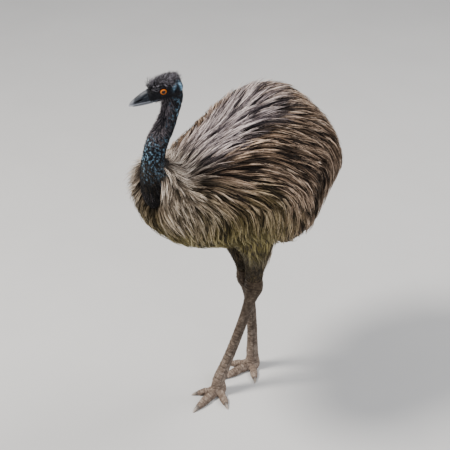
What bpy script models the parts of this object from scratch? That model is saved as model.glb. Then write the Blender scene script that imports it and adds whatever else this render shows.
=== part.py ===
"""Emu: a still, life-size museum model of the bird, standing on its own two feet.

Metres, +Z up. The bird faces -Y and its left side is +X. The floor is z = 0, and the origin is on the
floor midway between the ankles, under the middle of the bird.
"""

import math
import random

import bmesh
import bpy
from mathutils import Matrix, Vector
from mathutils.bvhtree import BVHTree

# Gap that touching nodes keep between their faces
GAP = 0.0003

# Body with its plumage, front to rear: y, top, bottom, half width, height of the widest line, and the
# roundness of the back, where 1 is a plain ridge and 2 an oval
BODY_ROWS = (
    (-0.375, 0.890, 0.870, 0.012, 0.880, 2.00),
    (-0.366, 0.935, 0.820, 0.062, 0.876, 1.90),
    (-0.340, 0.970, 0.775, 0.106, 0.870, 1.60),
    (-0.285, 0.984, 0.722, 0.152, 0.864, 1.36),
    (-0.200, 1.010, 0.678, 0.196, 0.858, 1.34),
    (-0.090, 1.046, 0.645, 0.230, 0.854, 1.37),
    (0.020, 1.090, 0.628, 0.246, 0.852, 1.42),
    (0.120, 1.112, 0.632, 0.245, 0.855, 1.50),
    (0.205, 1.088, 0.640, 0.230, 0.858, 1.60),
    (0.265, 1.042, 0.658, 0.208, 0.856, 1.70),
    (0.315, 0.984, 0.685, 0.171, 0.845, 1.80),
    (0.345, 0.920, 0.725, 0.115, 0.822, 1.90),
    (0.358, 0.855, 0.760, 0.050, 0.802, 2.00),
    (0.362, 0.820, 0.785, 0.012, 0.800, 2.00),
)
BELLY_ROUNDNESS = 2.1
BODY_SIDES = 22
BODY_RINGS = 20
# How far the feathered body's own closed form lies below the tips of the plumage
PLUMAGE_DEPTH = 0.026

# Tail and the plumage that hangs from it, top to bottom: x, y, z, half width, half depth, and how far its
# core lies below the tips
TAIL_ROWS = (
    (0.0, 0.160, 0.960, 0.085, 0.055, 0.000),
    (0.0, 0.210, 0.940, 0.115, 0.075, 0.004),
    (0.0, 0.262, 0.905, 0.138, 0.088, 0.012),
    (0.0, 0.300, 0.855, 0.148, 0.090, 0.020),
    (0.0, 0.324, 0.800, 0.138, 0.078, 0.022),
    (0.0, 0.336, 0.745, 0.116, 0.062, 0.020),
    (0.0, 0.342, 0.695, 0.088, 0.046, 0.016),
    (0.0, 0.345, 0.645, 0.062, 0.032, 0.010),
)
# The core ends above the lowest row, and no lock starts below this height
TAIL_CORE_END = 0.80
TAIL_BARE_BELOW = 0.750
TAIL_SIDES = 14

# Neck, bottom to top: x, y, z, half width, half depth
NECK_ROWS = (
    (0.000, -0.292, 0.850, 0.026, 0.026),
    (0.000, -0.318, 0.878, 0.033, 0.033),
    (0.000, -0.339, 0.914, 0.0375, 0.037),
    (0.000, -0.346, 0.965, 0.0385, 0.038),
    (0.000, -0.343, 1.020, 0.0365, 0.0365),
    (0.000, -0.326, 1.078, 0.0335, 0.0335),
    (0.000, -0.295, 1.122, 0.0305, 0.0305),
    (0.002, -0.276, 1.160, 0.0275, 0.0280),
    (0.006, -0.273, 1.192, 0.0270, 0.0290),
    (0.010, -0.277, 1.224, 0.0235, 0.0250),
)
NECK_SIDES = 16
NECK_MID_T = 0.53
NECK_TOP_T = 0.888
NECK_END_T = 1.0

# Collar of plumage round the base of the neck, top to bottom: y, z, half width, half depth
COLLAR_ROWS = (
    (-0.334, 1.036, 0.043, 0.042),
    (-0.326, 1.005, 0.064, 0.056),
    (-0.312, 0.965, 0.092, 0.066),
    (-0.298, 0.915, 0.127, 0.072),
    (-0.285, 0.870, 0.127, 0.064),
)
COLLAR_DEPTH = 0.012

# Head frame: its middle between the eyes, turned to the bird's right and tipped down a little
HEAD_AT = (0.000, -0.300, 1.254)
HEAD_TURN = math.radians(30.0)
HEAD_TIP = math.radians(13.0)
# Skull, rear to front in the head frame: forward, top, bottom, half width, height of the widest line
HEAD_ROWS = (
    (-0.0590, -0.004, -0.010, 0.003, -0.007),
    (-0.0565, 0.007, -0.021, 0.014, -0.007),
    (-0.0465, 0.018, -0.031, 0.0225, -0.006),
    (-0.0290, 0.0260, -0.036, 0.0275, -0.005),
    (-0.0080, 0.0275, -0.037, 0.0275, -0.002),
    (0.0080, 0.0240, -0.0365, 0.0265, -0.002),
    (0.0210, 0.0165, -0.0355, 0.0232, -0.006),
    (0.0310, 0.0095, -0.0350, 0.0205, -0.013),
    (0.0370, 0.0065, -0.0345, 0.0190, -0.016),
)
HEAD_SIDES = 18
HEAD_RINGS = 13

# Bill from the face to the tip, in the head frame: forward, top, half width
CULMEN_ROWS = (
    (0.0370, 0.0065, 0.0190),
    (0.0500, 0.0050, 0.0168),
    (0.0640, 0.0005, 0.0140),
    (0.0780, -0.0055, 0.0112),
    (0.0900, -0.0115, 0.0085),
    (0.0990, -0.0178, 0.0058),
    (0.1050, -0.0250, 0.0022),
)
GONYS_ROWS = (
    (0.0370, -0.0345, 0.0180),
    (0.0520, -0.0345, 0.0150),
    (0.0680, -0.0340, 0.0118),
    (0.0820, -0.0325, 0.0088),
    (0.0930, -0.0300, 0.0058),
    (0.0985, -0.0280, 0.0024),
)
MOUTH_HEIGHT = -0.0262
BILL_SIDES = 10

EYE_FORWARD = 0.0
EYE_SIDE = 0.0192
EYE_RADIUS = 0.0130
# Rim of the lids: place out from the middle of the head, half length, half height and thickness
LID_SIDE = 0.0262
LID_HALF_LENGTH = 0.0112
LID_HALF_HEIGHT = 0.0102
LID_THICKNESS = 0.0021
MOUTH_CORNER = 0.0210
MOUTH_SLIT = 0.0009
# Nostrils: forward, up, and half sizes along, across and up
NOSTRIL_AT = (0.0640, -0.0105)
NOSTRIL_SIZE = (0.0062, 0.0030, 0.0019)
NOSTRIL_SIDE = 0.0135
# Ears: forward, side, up, and half sizes along, across and up
EAR_AT = (-0.0330, 0.0290, -0.0100)
EAR_SIZE = (0.0045, 0.0045, 0.0054)

# Drumsticks with their plumage, from the hock up into the body: x, y, z, half width, half depth, and how far
# the core lies below the tips
DRUMSTICK_ROWS = {
    "L": (
        (0.0350, 0.0490, 0.436, 0.0280, 0.0290, 0.000),
        (0.0400, 0.0460, 0.465, 0.0310, 0.0330, 0.003),
        (0.0570, 0.0350, 0.520, 0.0390, 0.0440, 0.006),
        (0.0780, 0.0170, 0.580, 0.0480, 0.0580, 0.008),
        (0.1000, -0.0070, 0.640, 0.0560, 0.0700, 0.006),
        (0.1150, -0.0300, 0.700, 0.0560, 0.0760, 0.000),
        (0.1200, -0.0450, 0.745, 0.0500, 0.0700, 0.000),
    ),
    "R": (
        (-0.0310, 0.0700, 0.435, 0.0280, 0.0290, 0.000),
        (-0.0370, 0.0670, 0.464, 0.0310, 0.0330, 0.003),
        (-0.0560, 0.0580, 0.522, 0.0390, 0.0440, 0.006),
        (-0.0790, 0.0440, 0.582, 0.0480, 0.0580, 0.008),
        (-0.1000, 0.0230, 0.640, 0.0560, 0.0700, 0.006),
        (-0.1150, 0.0000, 0.700, 0.0560, 0.0760, 0.000),
        (-0.1200, -0.0150, 0.745, 0.0500, 0.0700, 0.000),
    ),
}
LEG_SIDES = 12

# Feet: ankle joint on the ground plan, and the heading of each toe from -Y towards the bird's left
ANKLE = {"L": (0.010, -0.092), "R": (-0.010, 0.092)}
ANKLE_HEIGHT = 0.050
HOCK = {"L": (0.034, 0.052, 0.405), "R": (-0.030, 0.070, 0.404)}
TOE_HEADINGS = {
    "L": {"inner": -31.0, "middle": 9.0, "outer": 66.0},
    "R": {"inner": 52.0, "middle": -8.0, "outer": -48.0},
}
# Steps in the arch of a toe's outline
TOE_ARCH = 6
# Toe flesh length from the pad's middle, half width and height at its root
TOE_SIZES = {
    "inner": (0.076, 0.0135, 0.024),
    "middle": (0.114, 0.0155, 0.029),
    "outer": (0.078, 0.0140, 0.025),
}
CLAW_LENGTHS = {"inner": 0.021, "middle": 0.027, "outer": 0.022}
# Shank from ankle to hock: share of the way, half width, half depth, set back from the straight line
SHANK_ROWS = (
    (0.000, 0.0225, 0.0210, 0.000),
    (0.070, 0.0215, 0.0200, 0.001),
    (0.200, 0.0180, 0.0185, 0.006),
    (0.400, 0.0160, 0.0185, 0.011),
    (0.620, 0.0160, 0.0190, 0.012),
    (0.790, 0.0180, 0.0205, 0.009),
    (0.890, 0.0235, 0.0255, 0.006),
    (0.965, 0.0300, 0.0315, 0.003),
)
# Rings between both ends, and the shares of the path where they start and end
SHANK_RINGS = 11
SHANK_SPAN = (0.08, 0.94)
# Raised plates down the front of the shank and along the toes
SHANK_SCUTES = 9
SCUTE_START = 0.070
SCUTE_STEP = 0.056
SCUTE_LENGTH = 0.049
SCUTE_LIFT = 0.0020
SCUTE_SINK = 0.0045
SCUTE_SIDE = 0.16
TOE_SCUTES = {"inner": 3, "middle": 4, "outer": 3}
TOE_SCUTE_LIFT = 0.0014
# Shares of a toe's length between which its plates lie, and where each starts and ends in its own space
TOE_SCUTE_SPAN = (0.44, 0.97)
TOE_SCUTE_ENDS = (0.06, 0.90)
# Pad under the ankle, top to bottom: share of the way down, half width and half depth
PAD_ROWS = (
    (0.25, 0.0240, 0.0230),
    (0.60, 0.0265, 0.0268),
    (0.92, 0.0245, 0.0258),
    (1.00, 0.0200, 0.0215),
)

# Shares of a lock's length at its stations, and its width and thickness there
LOCK_STATIONS = (0.00, 0.34, 0.68)
LOCK_WIDTHS = (0.75, 1.00, 0.72)
LOCK_THICKNESSES = (1.00, 1.00, 0.60)
LOCK_BEND = math.radians(14.0)
# Locks of each feathered part: distance apart, length, half width and thickness, how far the root is sunk in
# the core, and the range of a tip's place above the outline
LOCKS = {
    "torso": (0.075, 0.210, 0.040, 0.0100, 0.012, -0.006, 0.004),
    "tail": (0.052, 0.125, 0.026, 0.0075, 0.008, -0.007, -0.002),
    "leg_drumstick": (0.054, 0.095, 0.020, 0.0045, 0.006, -0.005, -0.003),
    "head": (0.0122, 0.027, 0.0058, 0.0022, 0.0035, 0.006, 0.011),
}
# The ruff's locks are this much smaller, and their tips stand out this much more
RUFF_SIZE = 0.55
RUFF_RISE = 0.004
# Space that a feathered limb keeps clear for its locks, how far the body's locks pass over it, and how deep
# a lock may run in it before it is left to be cut
LOCK_CLEARANCE = 0.004
PASS_OVER = 0.0015
PASS_DEPTH = 0.030
BARE_DEPTH = 0.006
DRUMSTICK_BARE_ABOVE = 0.600
STRAIGHTEST_FOLD = math.cos(math.radians(55))
SCATTER_TRIES = 40
SEED = 5


# Small geometry

def spline(rows, t):
    """Point at share t of a smooth curve through the rows."""
    span = t * (len(rows) - 1)
    first = min(int(span), len(rows) - 2)
    local = span - first
    picks = [rows[min(max(first + step, 0), len(rows) - 1)] for step in (-1, 0, 1, 2)]
    return [hermite(values, local) for values in zip(*picks)]


def hermite(values, local):
    before, start, end, after = values
    slope_in = (end - before) / 2
    slope_out = (after - start) / 2
    square = local * local
    cube = square * local
    return (
        (2 * cube - 3 * square + 1) * start
        + (cube - 2 * square + local) * slope_in
        + (3 * square - 2 * cube) * end
        + (cube - square) * slope_out
    )


def signed_power(value, power):
    return math.copysign(abs(value) ** power, value)


def oval(sides, half_width, up, down, power=2.0, down_power=None):
    """Closed outline of (side, up) pairs, starting at the top and running to +side."""
    points = []
    for i in range(sides):
        angle = 2 * math.pi * i / sides
        height = math.cos(angle)
        round_by = 2 / (power if height > 0 or down_power is None else down_power)
        across = signed_power(math.sin(angle), round_by) * half_width
        points.append((across, signed_power(height, round_by) * (up if height > 0 else down)))
    return points


def loft(rings):
    """Closed mesh through rings of the same count, with a flat or fanned cap at each end."""
    mesh = bmesh.new()
    loops = [[mesh.verts.new(point) for point in ring] for ring in rings]
    for lower, upper in zip(loops, loops[1:]):
        for i in range(len(lower)):
            j = (i + 1) % len(lower)
            mesh.faces.new((lower[i], lower[j], upper[j], upper[i]))
    mesh.faces.new(list(reversed(loops[0])))
    mesh.faces.new(loops[-1])
    bmesh.ops.recalc_face_normals(mesh, faces=mesh.faces)
    return mesh


def add_object(name, mesh, collection, smooth_angle=50.0):
    data = bpy.data.meshes.new(name)
    mesh.to_mesh(data)
    mesh.free()
    made = bpy.data.objects.new(name, data)
    collection.objects.link(made)
    data.shade_smooth()
    data.set_sharp_from_angle(angle=math.radians(smooth_angle))
    return made


def frame_at(path, t):
    """Place, side axis, forward axis and direction of a path at share t."""
    step = 0.01
    here = Vector(path(t)[:3])
    ahead = Vector(path(min(t + step, 1.0))[:3])
    behind = Vector(path(max(t - step, 0.0))[:3])
    direction = (ahead - behind).normalized()
    side = Vector((1.0, 0.0, 0.0))
    side = (side - direction * side.dot(direction)).normalized()
    return here, side, direction.cross(side), direction


def tube_rings(path, shares, sides, grow=0.0, power=2.0):
    """Rings across a path whose values four and five are its half width and half depth."""
    rings = []
    for t in shares:
        here, side, forward, _ = frame_at(path, t)
        half_width, half_depth = path(t)[3:5]
        outline = oval(sides, half_width + grow, half_depth + grow, half_depth + grow, power)
        rings.append([here + side * a + forward * b for a, b in outline])
    return rings


def shares_between(start, end, count):
    return [start + (end - start) * i / (count - 1) for i in range(count)]


def shift_ring(ring, offset):
    return [point + offset for point in ring]


# Booleans

def boolean(target, other, operation, solver="EXACT"):
    modifier = target.modifiers.new("cut", "BOOLEAN")
    modifier.operation = operation
    modifier.solver = solver
    modifier.object = other
    apply_modifiers(target)
    bpy.data.objects.remove(other)


def apply_modifiers(target):
    depsgraph = bpy.context.evaluated_depsgraph_get()
    old = target.data
    target.data = bpy.data.meshes.new_from_object(target.evaluated_get(depsgraph))
    target.modifiers.clear()
    target.data.name = target.name
    bpy.data.meshes.remove(old)


def keep_largest(target):
    """Keeps only the largest closed surface, so that no scrap or sealed hollow is left."""
    mesh = bmesh.new()
    mesh.from_mesh(target.data)
    unseen = set(mesh.verts)
    islands = []
    while unseen:
        stack = [unseen.pop()]
        island = []
        while stack:
            vertex = stack.pop()
            island.append(vertex)
            for edge in vertex.link_edges:
                other = edge.other_vert(vertex)
                if other in unseen:
                    unseen.remove(other)
                    stack.append(other)
        islands.append(island)
    islands.sort(key=extent, reverse=True)
    for island in islands[1:]:
        bmesh.ops.delete(mesh, geom=island, context="VERTS")
    mesh.to_mesh(target.data)
    mesh.free()


def extent(vertices):
    """Diagonal of the box round some vertices."""
    low = [min(v.co[axis] for v in vertices) for axis in range(3)]
    high = [max(v.co[axis] for v in vertices) for axis in range(3)]
    return math.dist(low, high)


# Locks of plumage

def solid_tree(made):
    """Search tree of a closed object, for its nearest surface."""
    mesh = bmesh.new()
    mesh.from_mesh(made.data)
    tree = BVHTree.FromBMesh(mesh)
    mesh.free()
    return tree


def depth_inside(tree, point):
    """How deep a point lies in a closed surface, or less than zero outside it."""
    place, normal, _, distance = tree.find_nearest(point)
    return distance if (point - place).dot(normal) < 0 else -distance


def scatter(made, spacing, size_at, draw):
    """Places spread over a surface with the size wanted there, nearer together where that is small."""
    made.data.calc_loop_triangles()
    corners = [[made.data.vertices[i].co for i in face.vertices] for face in made.data.loop_triangles]
    areas = [face.area for face in made.data.loop_triangles]
    tries = int(sum(areas) / spacing ** 2 * SCATTER_TRIES)
    kept = []
    for a, b, c in draw.choices(corners, weights=areas, k=tries):
        along, across = draw.random(), draw.random()
        if along + across > 1:
            along, across = 1 - along, 1 - across
        place = a + (b - a) * along + (c - a) * across
        size = size_at(place)
        if size > 0 and all((place - other).length > spacing * size for other, _ in kept):
            kept.append((place, size))
    return kept


def passed_over(avoid, point):
    """The point, or one just outside a part that it would enter by a little."""
    for tree in avoid:
        place, normal, _, _ = tree.find_nearest(point)
        if -PASS_OVER < depth_inside(tree, point) < PASS_DEPTH:
            point = place + normal * PASS_OVER
    return point


def lock_line(guide, root, lie, length, sink, rise, bend, avoid):
    """Places and normals along a lock that follows the guide's surface, from sunk to its tip."""
    place, normal, _, _ = guide.find_nearest(root)
    line = []
    for last, share in zip((0.0,) + LOCK_STATIONS + (1.0,), LOCK_STATIONS + (1.0,)):
        direction = lie(place, normal)
        direction.rotate(Matrix.Rotation(bend * (0.4 + share), 3, normal))
        direction -= normal * direction.dot(normal)
        step = direction.normalized() * length * (share - last)
        place, normal, _, _ = guide.find_nearest(place + step)
        point = place + normal * (rise - (rise + sink) * (1 - share))
        line.append((passed_over(avoid, point) if share > 0 else point, normal))
    return line


def runs_on(line):
    """True where a lock's line keeps its direction well enough not to fold over."""
    steps = [(after - before).normalized() for (before, _), (after, _) in zip(line, line[1:])]
    return all(a.dot(b) > STRAIGHTEST_FOLD for a, b in zip(steps, steps[1:]))


def lock_form(line, half_width, thickness, collection):
    """Flat, tapered lock with a low ridge along its outer side."""
    mesh = bmesh.new()
    tip = mesh.verts.new(line[-1][0])
    loops = []
    for k in range(len(LOCK_STATIONS)):
        point, normal = line[k]
        ahead = line[k + 1][0] - line[max(k - 1, 0)][0]
        across = ahead.cross(normal).normalized() * half_width * LOCK_WIDTHS[k]
        up = normal * thickness * LOCK_THICKNESSES[k]
        loops.append([mesh.verts.new(point + offset) for offset in (across, up, -across)])
    for lower, upper in zip(loops, loops[1:]):
        for i in range(3):
            j = (i + 1) % 3
            mesh.faces.new((lower[i], lower[j], upper[j], upper[i]))
    for i in range(3):
        mesh.faces.new((loops[-1][i], loops[-1][(i + 1) % 3], tip))
    mesh.faces.new(reversed(loops[0]))
    bmesh.ops.triangulate(mesh, faces=mesh.faces)
    bmesh.ops.recalc_face_normals(mesh, faces=mesh.faces)
    return add_object("lock", mesh, collection)


def fuse(target, collection, solver="MANIFOLD"):
    """Joins all of a collection's closed objects to the target in one union, and removes them."""
    modifier = target.modifiers.new("fuse", "BOOLEAN")
    modifier.operand_type = "COLLECTION"
    modifier.collection = collection
    modifier.operation = "UNION"
    modifier.solver = solver
    apply_modifiers(target)
    for made in list(collection.objects):
        bpy.data.objects.remove(made)
    bpy.data.collections.remove(collection)


def cover(target, guide_form, lie, size_at, sizes, draw, avoid=()):
    """Covers a core with overlapping locks that follow the guide, which lies out at their tips."""
    spacing, length, half_width, thickness, embed, rise_low, rise_high = sizes
    guide = solid_tree(guide_form)
    core = solid_tree(target)
    locks = new_collection("locks")
    for root, size in scatter(guide_form, spacing, size_at, draw):
        reach = length * size * draw.uniform(0.85, 1.15)
        wide = half_width * size * draw.uniform(0.85, 1.15)
        bend = draw.uniform(-LOCK_BEND, LOCK_BEND)
        rise = draw.uniform(rise_low, rise_high) + RUFF_RISE * (size < 1)
        sink = core.find_nearest(root)[3] + embed * size
        line = lock_line(guide, root, lie, reach, sink, rise, bend, avoid)
        if runs_on(line):
            lock_form(line, wide, thickness * size, locks)
    fuse(target, locks)


# Body

def body_form(name, inset, collection):
    """Body's closed form out to the tips, or its core further in."""
    rings = []
    for t in shares_between(0.0, 1.0, BODY_RINGS):
        y, top, bottom, half_width, widest, ridge = spline(BODY_ROWS, t)
        outline = oval(BODY_SIDES, half_width, top - widest, widest - bottom, ridge, BELLY_ROUNDNESS)
        rings.append([Vector((a, y, widest + b)) for a, b in outline])
    if inset > 0:
        rings = inset_rings(rings, inset)
    return add_object(name, loft(rings), collection)


def inset_rings(rings, inset):
    """Rings moved in along the normals of their own surface, without the first and the last."""
    mesh = loft(rings)
    mesh.normal_update()
    mesh.verts.ensure_lookup_table()
    count = len(rings[0])
    moved = [vertex.co - vertex.normal * inset for vertex in mesh.verts]
    mesh.free()
    return [moved[i * count:(i + 1) * count] for i in range(1, len(rings) - 1)]


def collar_form(name, inset, collection):
    rings = []
    for t in shares_between(0.0, 1.0, 7):
        y, z, half_width, half_depth = spline(COLLAR_ROWS, t)
        outline = oval(TAIL_SIDES, half_width - inset, half_depth - inset, half_depth - inset)
        rings.append([Vector((a, y + b, z)) for a, b in outline])
    return add_object(name, loft(rings), collection)


def body_lie(place, normal):
    """Lie of the plumage: out and back from the parting on the spine, then down the flanks."""
    side = 1.0 if place.x > 0 else -1.0
    aside = 0.22 + 0.42 * blend(abs(place.x), 0.02, 0.11)
    back = Vector((aside * side, 0.85, -0.20))
    flank = Vector((0.10 * side, 0.55, -0.85))
    breast = Vector((0.30 * side, 0.10, -0.95))
    belly = Vector((0.0, 0.80, -0.60))
    lie = flank.lerp(back, blend(normal.z, 0.15, 0.75))
    lie = lie.lerp(belly, blend(-normal.z, 0.30, 0.85))
    return lie.lerp(breast, blend(-place.y, 0.22, 0.33))


def blend(value, start, end):
    """0 before start, 1 after end, and smooth between them."""
    share = min(max((value - start) / (end - start), 0.0), 1.0)
    return share * share * (3 - 2 * share)


def make_torso(collection, cutters):
    guide_form = body_form("guide", 0.0, cutters)
    boolean(guide_form, collar_form("collar", 0.0, cutters), "UNION")
    torso = body_form("torso", PLUMAGE_DEPTH, collection)
    boolean(torso, collar_form("collar", COLLAR_DEPTH, cutters), "UNION")
    keep_outs = [neck_keep_out(cutters), limb_form("keep_out", tail_path, TAIL_SIDES, "keep_out", cutters)]
    for side in DRUMSTICK_ROWS:
        keep_outs.append(limb_form("keep_out", drumstick_path(side), LEG_SIDES, "keep_out", cutters))
    trees = [solid_tree(made) for made in keep_outs]

    def size_at(place):
        if any(depth_inside(tree, place) > BARE_DEPTH for tree in trees):
            return 0.0
        near_neck = blend(place.z, 0.90, 0.98) * blend(-place.y, 0.20, 0.27)
        return 1.0 + (RUFF_SIZE - 1.0) * near_neck

    cover(torso, guide_form, body_lie, size_at, LOCKS["torso"], random.Random(SEED), trees)
    bpy.data.objects.remove(guide_form)
    for made in keep_outs:
        boolean(torso, made, "DIFFERENCE", "MANIFOLD")
    keep_largest(torso)
    return torso


def limb_form(name, path, sides, kind, collection, end=1.0):
    """Feathered limb's core, its outline out to the tips, or the space that it keeps clear."""
    rings = []
    for t in shares_between(0.0, end, 11):
        here, side, forward, _ = frame_at(path, t)
        half_width, half_depth, inset = path(t)[3:6]
        change = {
            "core": -max(inset, 0.0),
            "outline": 0.0,
            "keep_out": GAP + LOCK_CLEARANCE * blend(inset, 0.0, 0.006),
        }[kind]
        outline = oval(sides, half_width + change, half_depth + change, half_depth + change)
        rings.append([here + side * a + forward * b for a, b in outline])
    if kind == "keep_out":
        # Both ends get their gap too
        rings[0] = shift_ring(rings[0], frame_at(path, 0.0)[3] * -GAP)
        rings[-1] = shift_ring(rings[-1], frame_at(path, 1.0)[3] * GAP)
    return add_object(name, loft(rings), collection)


def tail_path(t):
    return spline(TAIL_ROWS, t)


def tail_lie(place, normal):
    """The tail's plumage hangs down and spreads a little to both sides."""
    return Vector((place.x * 0.8, 0.12, -1.0))


def make_tail(collection, cutters):
    tail = limb_form("tail", tail_path, TAIL_SIDES, "core", collection, TAIL_CORE_END)
    guide_form = limb_form("guide", tail_path, TAIL_SIDES, "outline", cutters)
    body = body_form("body", 0.0, cutters)
    tree = solid_tree(body)
    bpy.data.objects.remove(body)

    def size_at(place):
        return float(depth_inside(tree, place) < BARE_DEPTH and place.z > TAIL_BARE_BELOW)

    cover(tail, guide_form, tail_lie, size_at, LOCKS["tail"], random.Random(SEED + 1))
    bpy.data.objects.remove(guide_form)
    keep_largest(tail)
    return tail


# Neck and head

def neck_path(t):
    return spline(NECK_ROWS, t)


def neck_piece(name, start, end, count, collection):
    """Length of the neck between two shares of its path, half a gap short at each inner end."""
    rings = tube_rings(neck_path, shares_between(start, end, count), NECK_SIDES)
    if start > 0:
        rings[0] = shift_ring(rings[0], frame_at(neck_path, start)[3] * GAP / 2)
    rings[-1] = shift_ring(rings[-1], -frame_at(neck_path, end)[3] * GAP / 2)
    return add_object(name, loft(rings), collection)


def neck_keep_out(collection):
    rings = tube_rings(neck_path, shares_between(0.0, 0.7, 22), NECK_SIDES, grow=GAP * 2)
    rings[0] = shift_ring(rings[0], -frame_at(neck_path, 0.0)[3] * GAP)
    return add_object("neck_keep_out", loft(rings), collection)


def head_matrix():
    turn = Matrix.Rotation(-HEAD_TURN, 4, "Z")
    tip = Matrix.Rotation(HEAD_TIP, 4, "X")
    return Matrix.Translation(HEAD_AT) @ turn @ tip


def head_point(forward, side, up):
    """World place of a point given in the head frame."""
    return head_matrix() @ Vector((side, -forward, up))


def skull_rings():
    rings = []
    for t in shares_between(0.0, 1.0, HEAD_RINGS):
        forward, top, bottom, half_width, widest = spline(HEAD_ROWS, t)
        outline = oval(HEAD_SIDES, half_width, top - widest, widest - bottom, 2.2)
        rings.append([head_point(forward, a, widest + b) for a, b in outline])
    return rings


def eye_ball(name, side_sign, grow, collection):
    mesh = bmesh.new()
    bmesh.ops.create_uvsphere(mesh, u_segments=14, v_segments=8, radius=EYE_RADIUS + grow)
    turn = Matrix.Rotation(math.radians(90), 4, "Y")
    bmesh.ops.transform(mesh, matrix=turn, verts=mesh.verts)
    place = head_matrix() @ Matrix.Translation((EYE_SIDE * side_sign, -EYE_FORWARD, 0))
    bmesh.ops.transform(mesh, matrix=place, verts=mesh.verts)
    return add_object(name, mesh, collection)


def head_local(point):
    """Forward, side and up in the head frame of a world place."""
    local = head_matrix().inverted() @ point
    return -local.y, local.x, local.z


def lid_ring(side_sign, collection):
    """Rim of both lids: an oval ring round the eye, thinnest at its corners."""
    mesh = bmesh.new()
    around, across = 14, 5
    loops = []
    for i in range(around):
        angle = 2 * math.pi * i / around
        out = Vector((0, math.cos(angle), math.sin(angle)))
        centre = Vector((0, out.y * LID_HALF_LENGTH, out.z * LID_HALF_HEIGHT))
        thick = LID_THICKNESS * (0.75 + 0.25 * abs(math.sin(angle)))
        loop = []
        for j in range(across):
            turn = 2 * math.pi * j / across
            offset = out * math.cos(turn) * thick + Vector((math.sin(turn) * thick, 0, 0))
            place = centre + offset
            loop.append(mesh.verts.new((side_sign * (LID_SIDE + place.x), place.y - EYE_FORWARD, place.z)))
        loops.append(loop)
    for i in range(around):
        for j in range(across):
            k = (j + 1) % across
            ahead = loops[(i + 1) % around]
            mesh.faces.new((loops[i][j], loops[i][k], ahead[k], ahead[j]))
    bmesh.ops.recalc_face_normals(mesh, faces=mesh.faces)
    bmesh.ops.transform(mesh, matrix=head_matrix(), verts=mesh.verts)
    return add_object("lid", mesh, collection)


def head_block(name, low, high, collection):
    """Box between two corners given as forward, side and up in the head frame."""
    mesh = bmesh.new()
    bmesh.ops.create_cube(mesh, size=1.0)
    size = [b - a for a, b in zip(low, high)]
    middle = [(a + b) / 2 for a, b in zip(low, high)]
    scale = Matrix.Diagonal((size[1], size[0], size[2], 1.0))
    place = Matrix.Translation((middle[1], -middle[0], middle[2]))
    bmesh.ops.transform(mesh, matrix=head_matrix() @ place @ scale, verts=mesh.verts)
    return add_object(name, mesh, collection)


def head_pit(forward, side, up, size, collection):
    """Egg-shaped cutter in the head frame, its half sizes along, across and up."""
    mesh = bmesh.new()
    bmesh.ops.create_uvsphere(mesh, u_segments=10, v_segments=6, radius=1.0)
    scale = Matrix.Diagonal((size[1], size[0], size[2], 1.0))
    place = Matrix.Translation((side, -forward, up))
    bmesh.ops.transform(mesh, matrix=head_matrix() @ place @ scale, verts=mesh.verts)
    return add_object("pit", mesh, collection)


def crown_lie(place, normal):
    """The crown's bristles lie back from the brow."""
    back = head_matrix().to_3x3() @ Vector((0, 1.0, 0.15))
    return back


def crown_size(place):
    """1 on the crown, where the bristles stand, and 0 elsewhere."""
    forward, _, up = head_local(place)
    return float(up > 0.008 and -0.050 < forward < 0.030 - 0.6 * (0.024 - up))


def make_head(collection, cutters):
    head = add_object("head", loft(skull_rings()), collection)
    guide_form = add_object("guide", loft(skull_rings()), cutters)
    cover(head, guide_form, crown_lie, crown_size, LOCKS["head"], random.Random(SEED + 3))
    bpy.data.objects.remove(guide_form)
    rings = tube_rings(neck_path, shares_between(NECK_TOP_T, NECK_END_T, 5), NECK_SIDES)
    rings[0] = shift_ring(rings[0], frame_at(neck_path, NECK_TOP_T)[3] * GAP / 2)
    boolean(head, add_object("stub", loft(rings), cutters), "UNION", "MANIFOLD")
    for side_sign in (1, -1):
        boolean(head, lid_ring(side_sign, cutters), "UNION", "MANIFOLD")
        boolean(head, eye_ball("socket", side_sign, GAP, cutters), "DIFFERENCE", "MANIFOLD")
        forward, side, up = EAR_AT
        ear = head_pit(forward, side * side_sign, up, EAR_SIZE, cutters)
        boolean(head, ear, "DIFFERENCE", "MANIFOLD")
    half_slit = MOUTH_SLIT / 2
    low = (MOUTH_CORNER, -0.04, MOUTH_HEIGHT - half_slit)
    high = (0.05, 0.04, MOUTH_HEIGHT + half_slit)
    boolean(head, head_block("mouth", low, high, cutters), "DIFFERENCE", "MANIFOLD")
    keep_largest(head)
    return head


def make_eyes(collection):
    return [
        eye_ball("eye_L", 1, 0.0, collection),
        eye_ball("eye_R", -1, 0.0, collection),
    ]


def bill_rings(rows, upper):
    """Half ovals above or below the mouth line, from the face to the tip."""
    rings = []
    for t in shares_between(0.0, 1.0, 10):
        forward, edge, half_width = spline(rows, t)
        height = edge - MOUTH_HEIGHT
        ring = []
        for i in range(BILL_SIDES + 1):
            angle = math.pi * i / BILL_SIDES
            up = MOUTH_HEIGHT + (GAP if upper else -GAP) / 2 + abs(math.sin(angle)) ** 0.8 * height
            ring.append(head_point(forward + GAP, math.cos(angle) * half_width, up))
        rings.append(ring)
    return rings


def make_bill(collection, cutters):
    upper = add_object("bill_upper", loft(bill_rings(CULMEN_ROWS, True)), collection)
    for side_sign in (1, -1):
        nostril = head_pit(NOSTRIL_AT[0], NOSTRIL_SIDE * side_sign, NOSTRIL_AT[1], NOSTRIL_SIZE, cutters)
        boolean(upper, nostril, "DIFFERENCE")
    lower = add_object("bill_lower", loft(bill_rings(GONYS_ROWS, False)), collection)
    return [upper, lower]


# Legs

def drumstick_path(side):
    return lambda t: spline(DRUMSTICK_ROWS[side], t)


def drumstick_lie(place, normal):
    return Vector((0.0, 0.15, -1.0))


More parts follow.
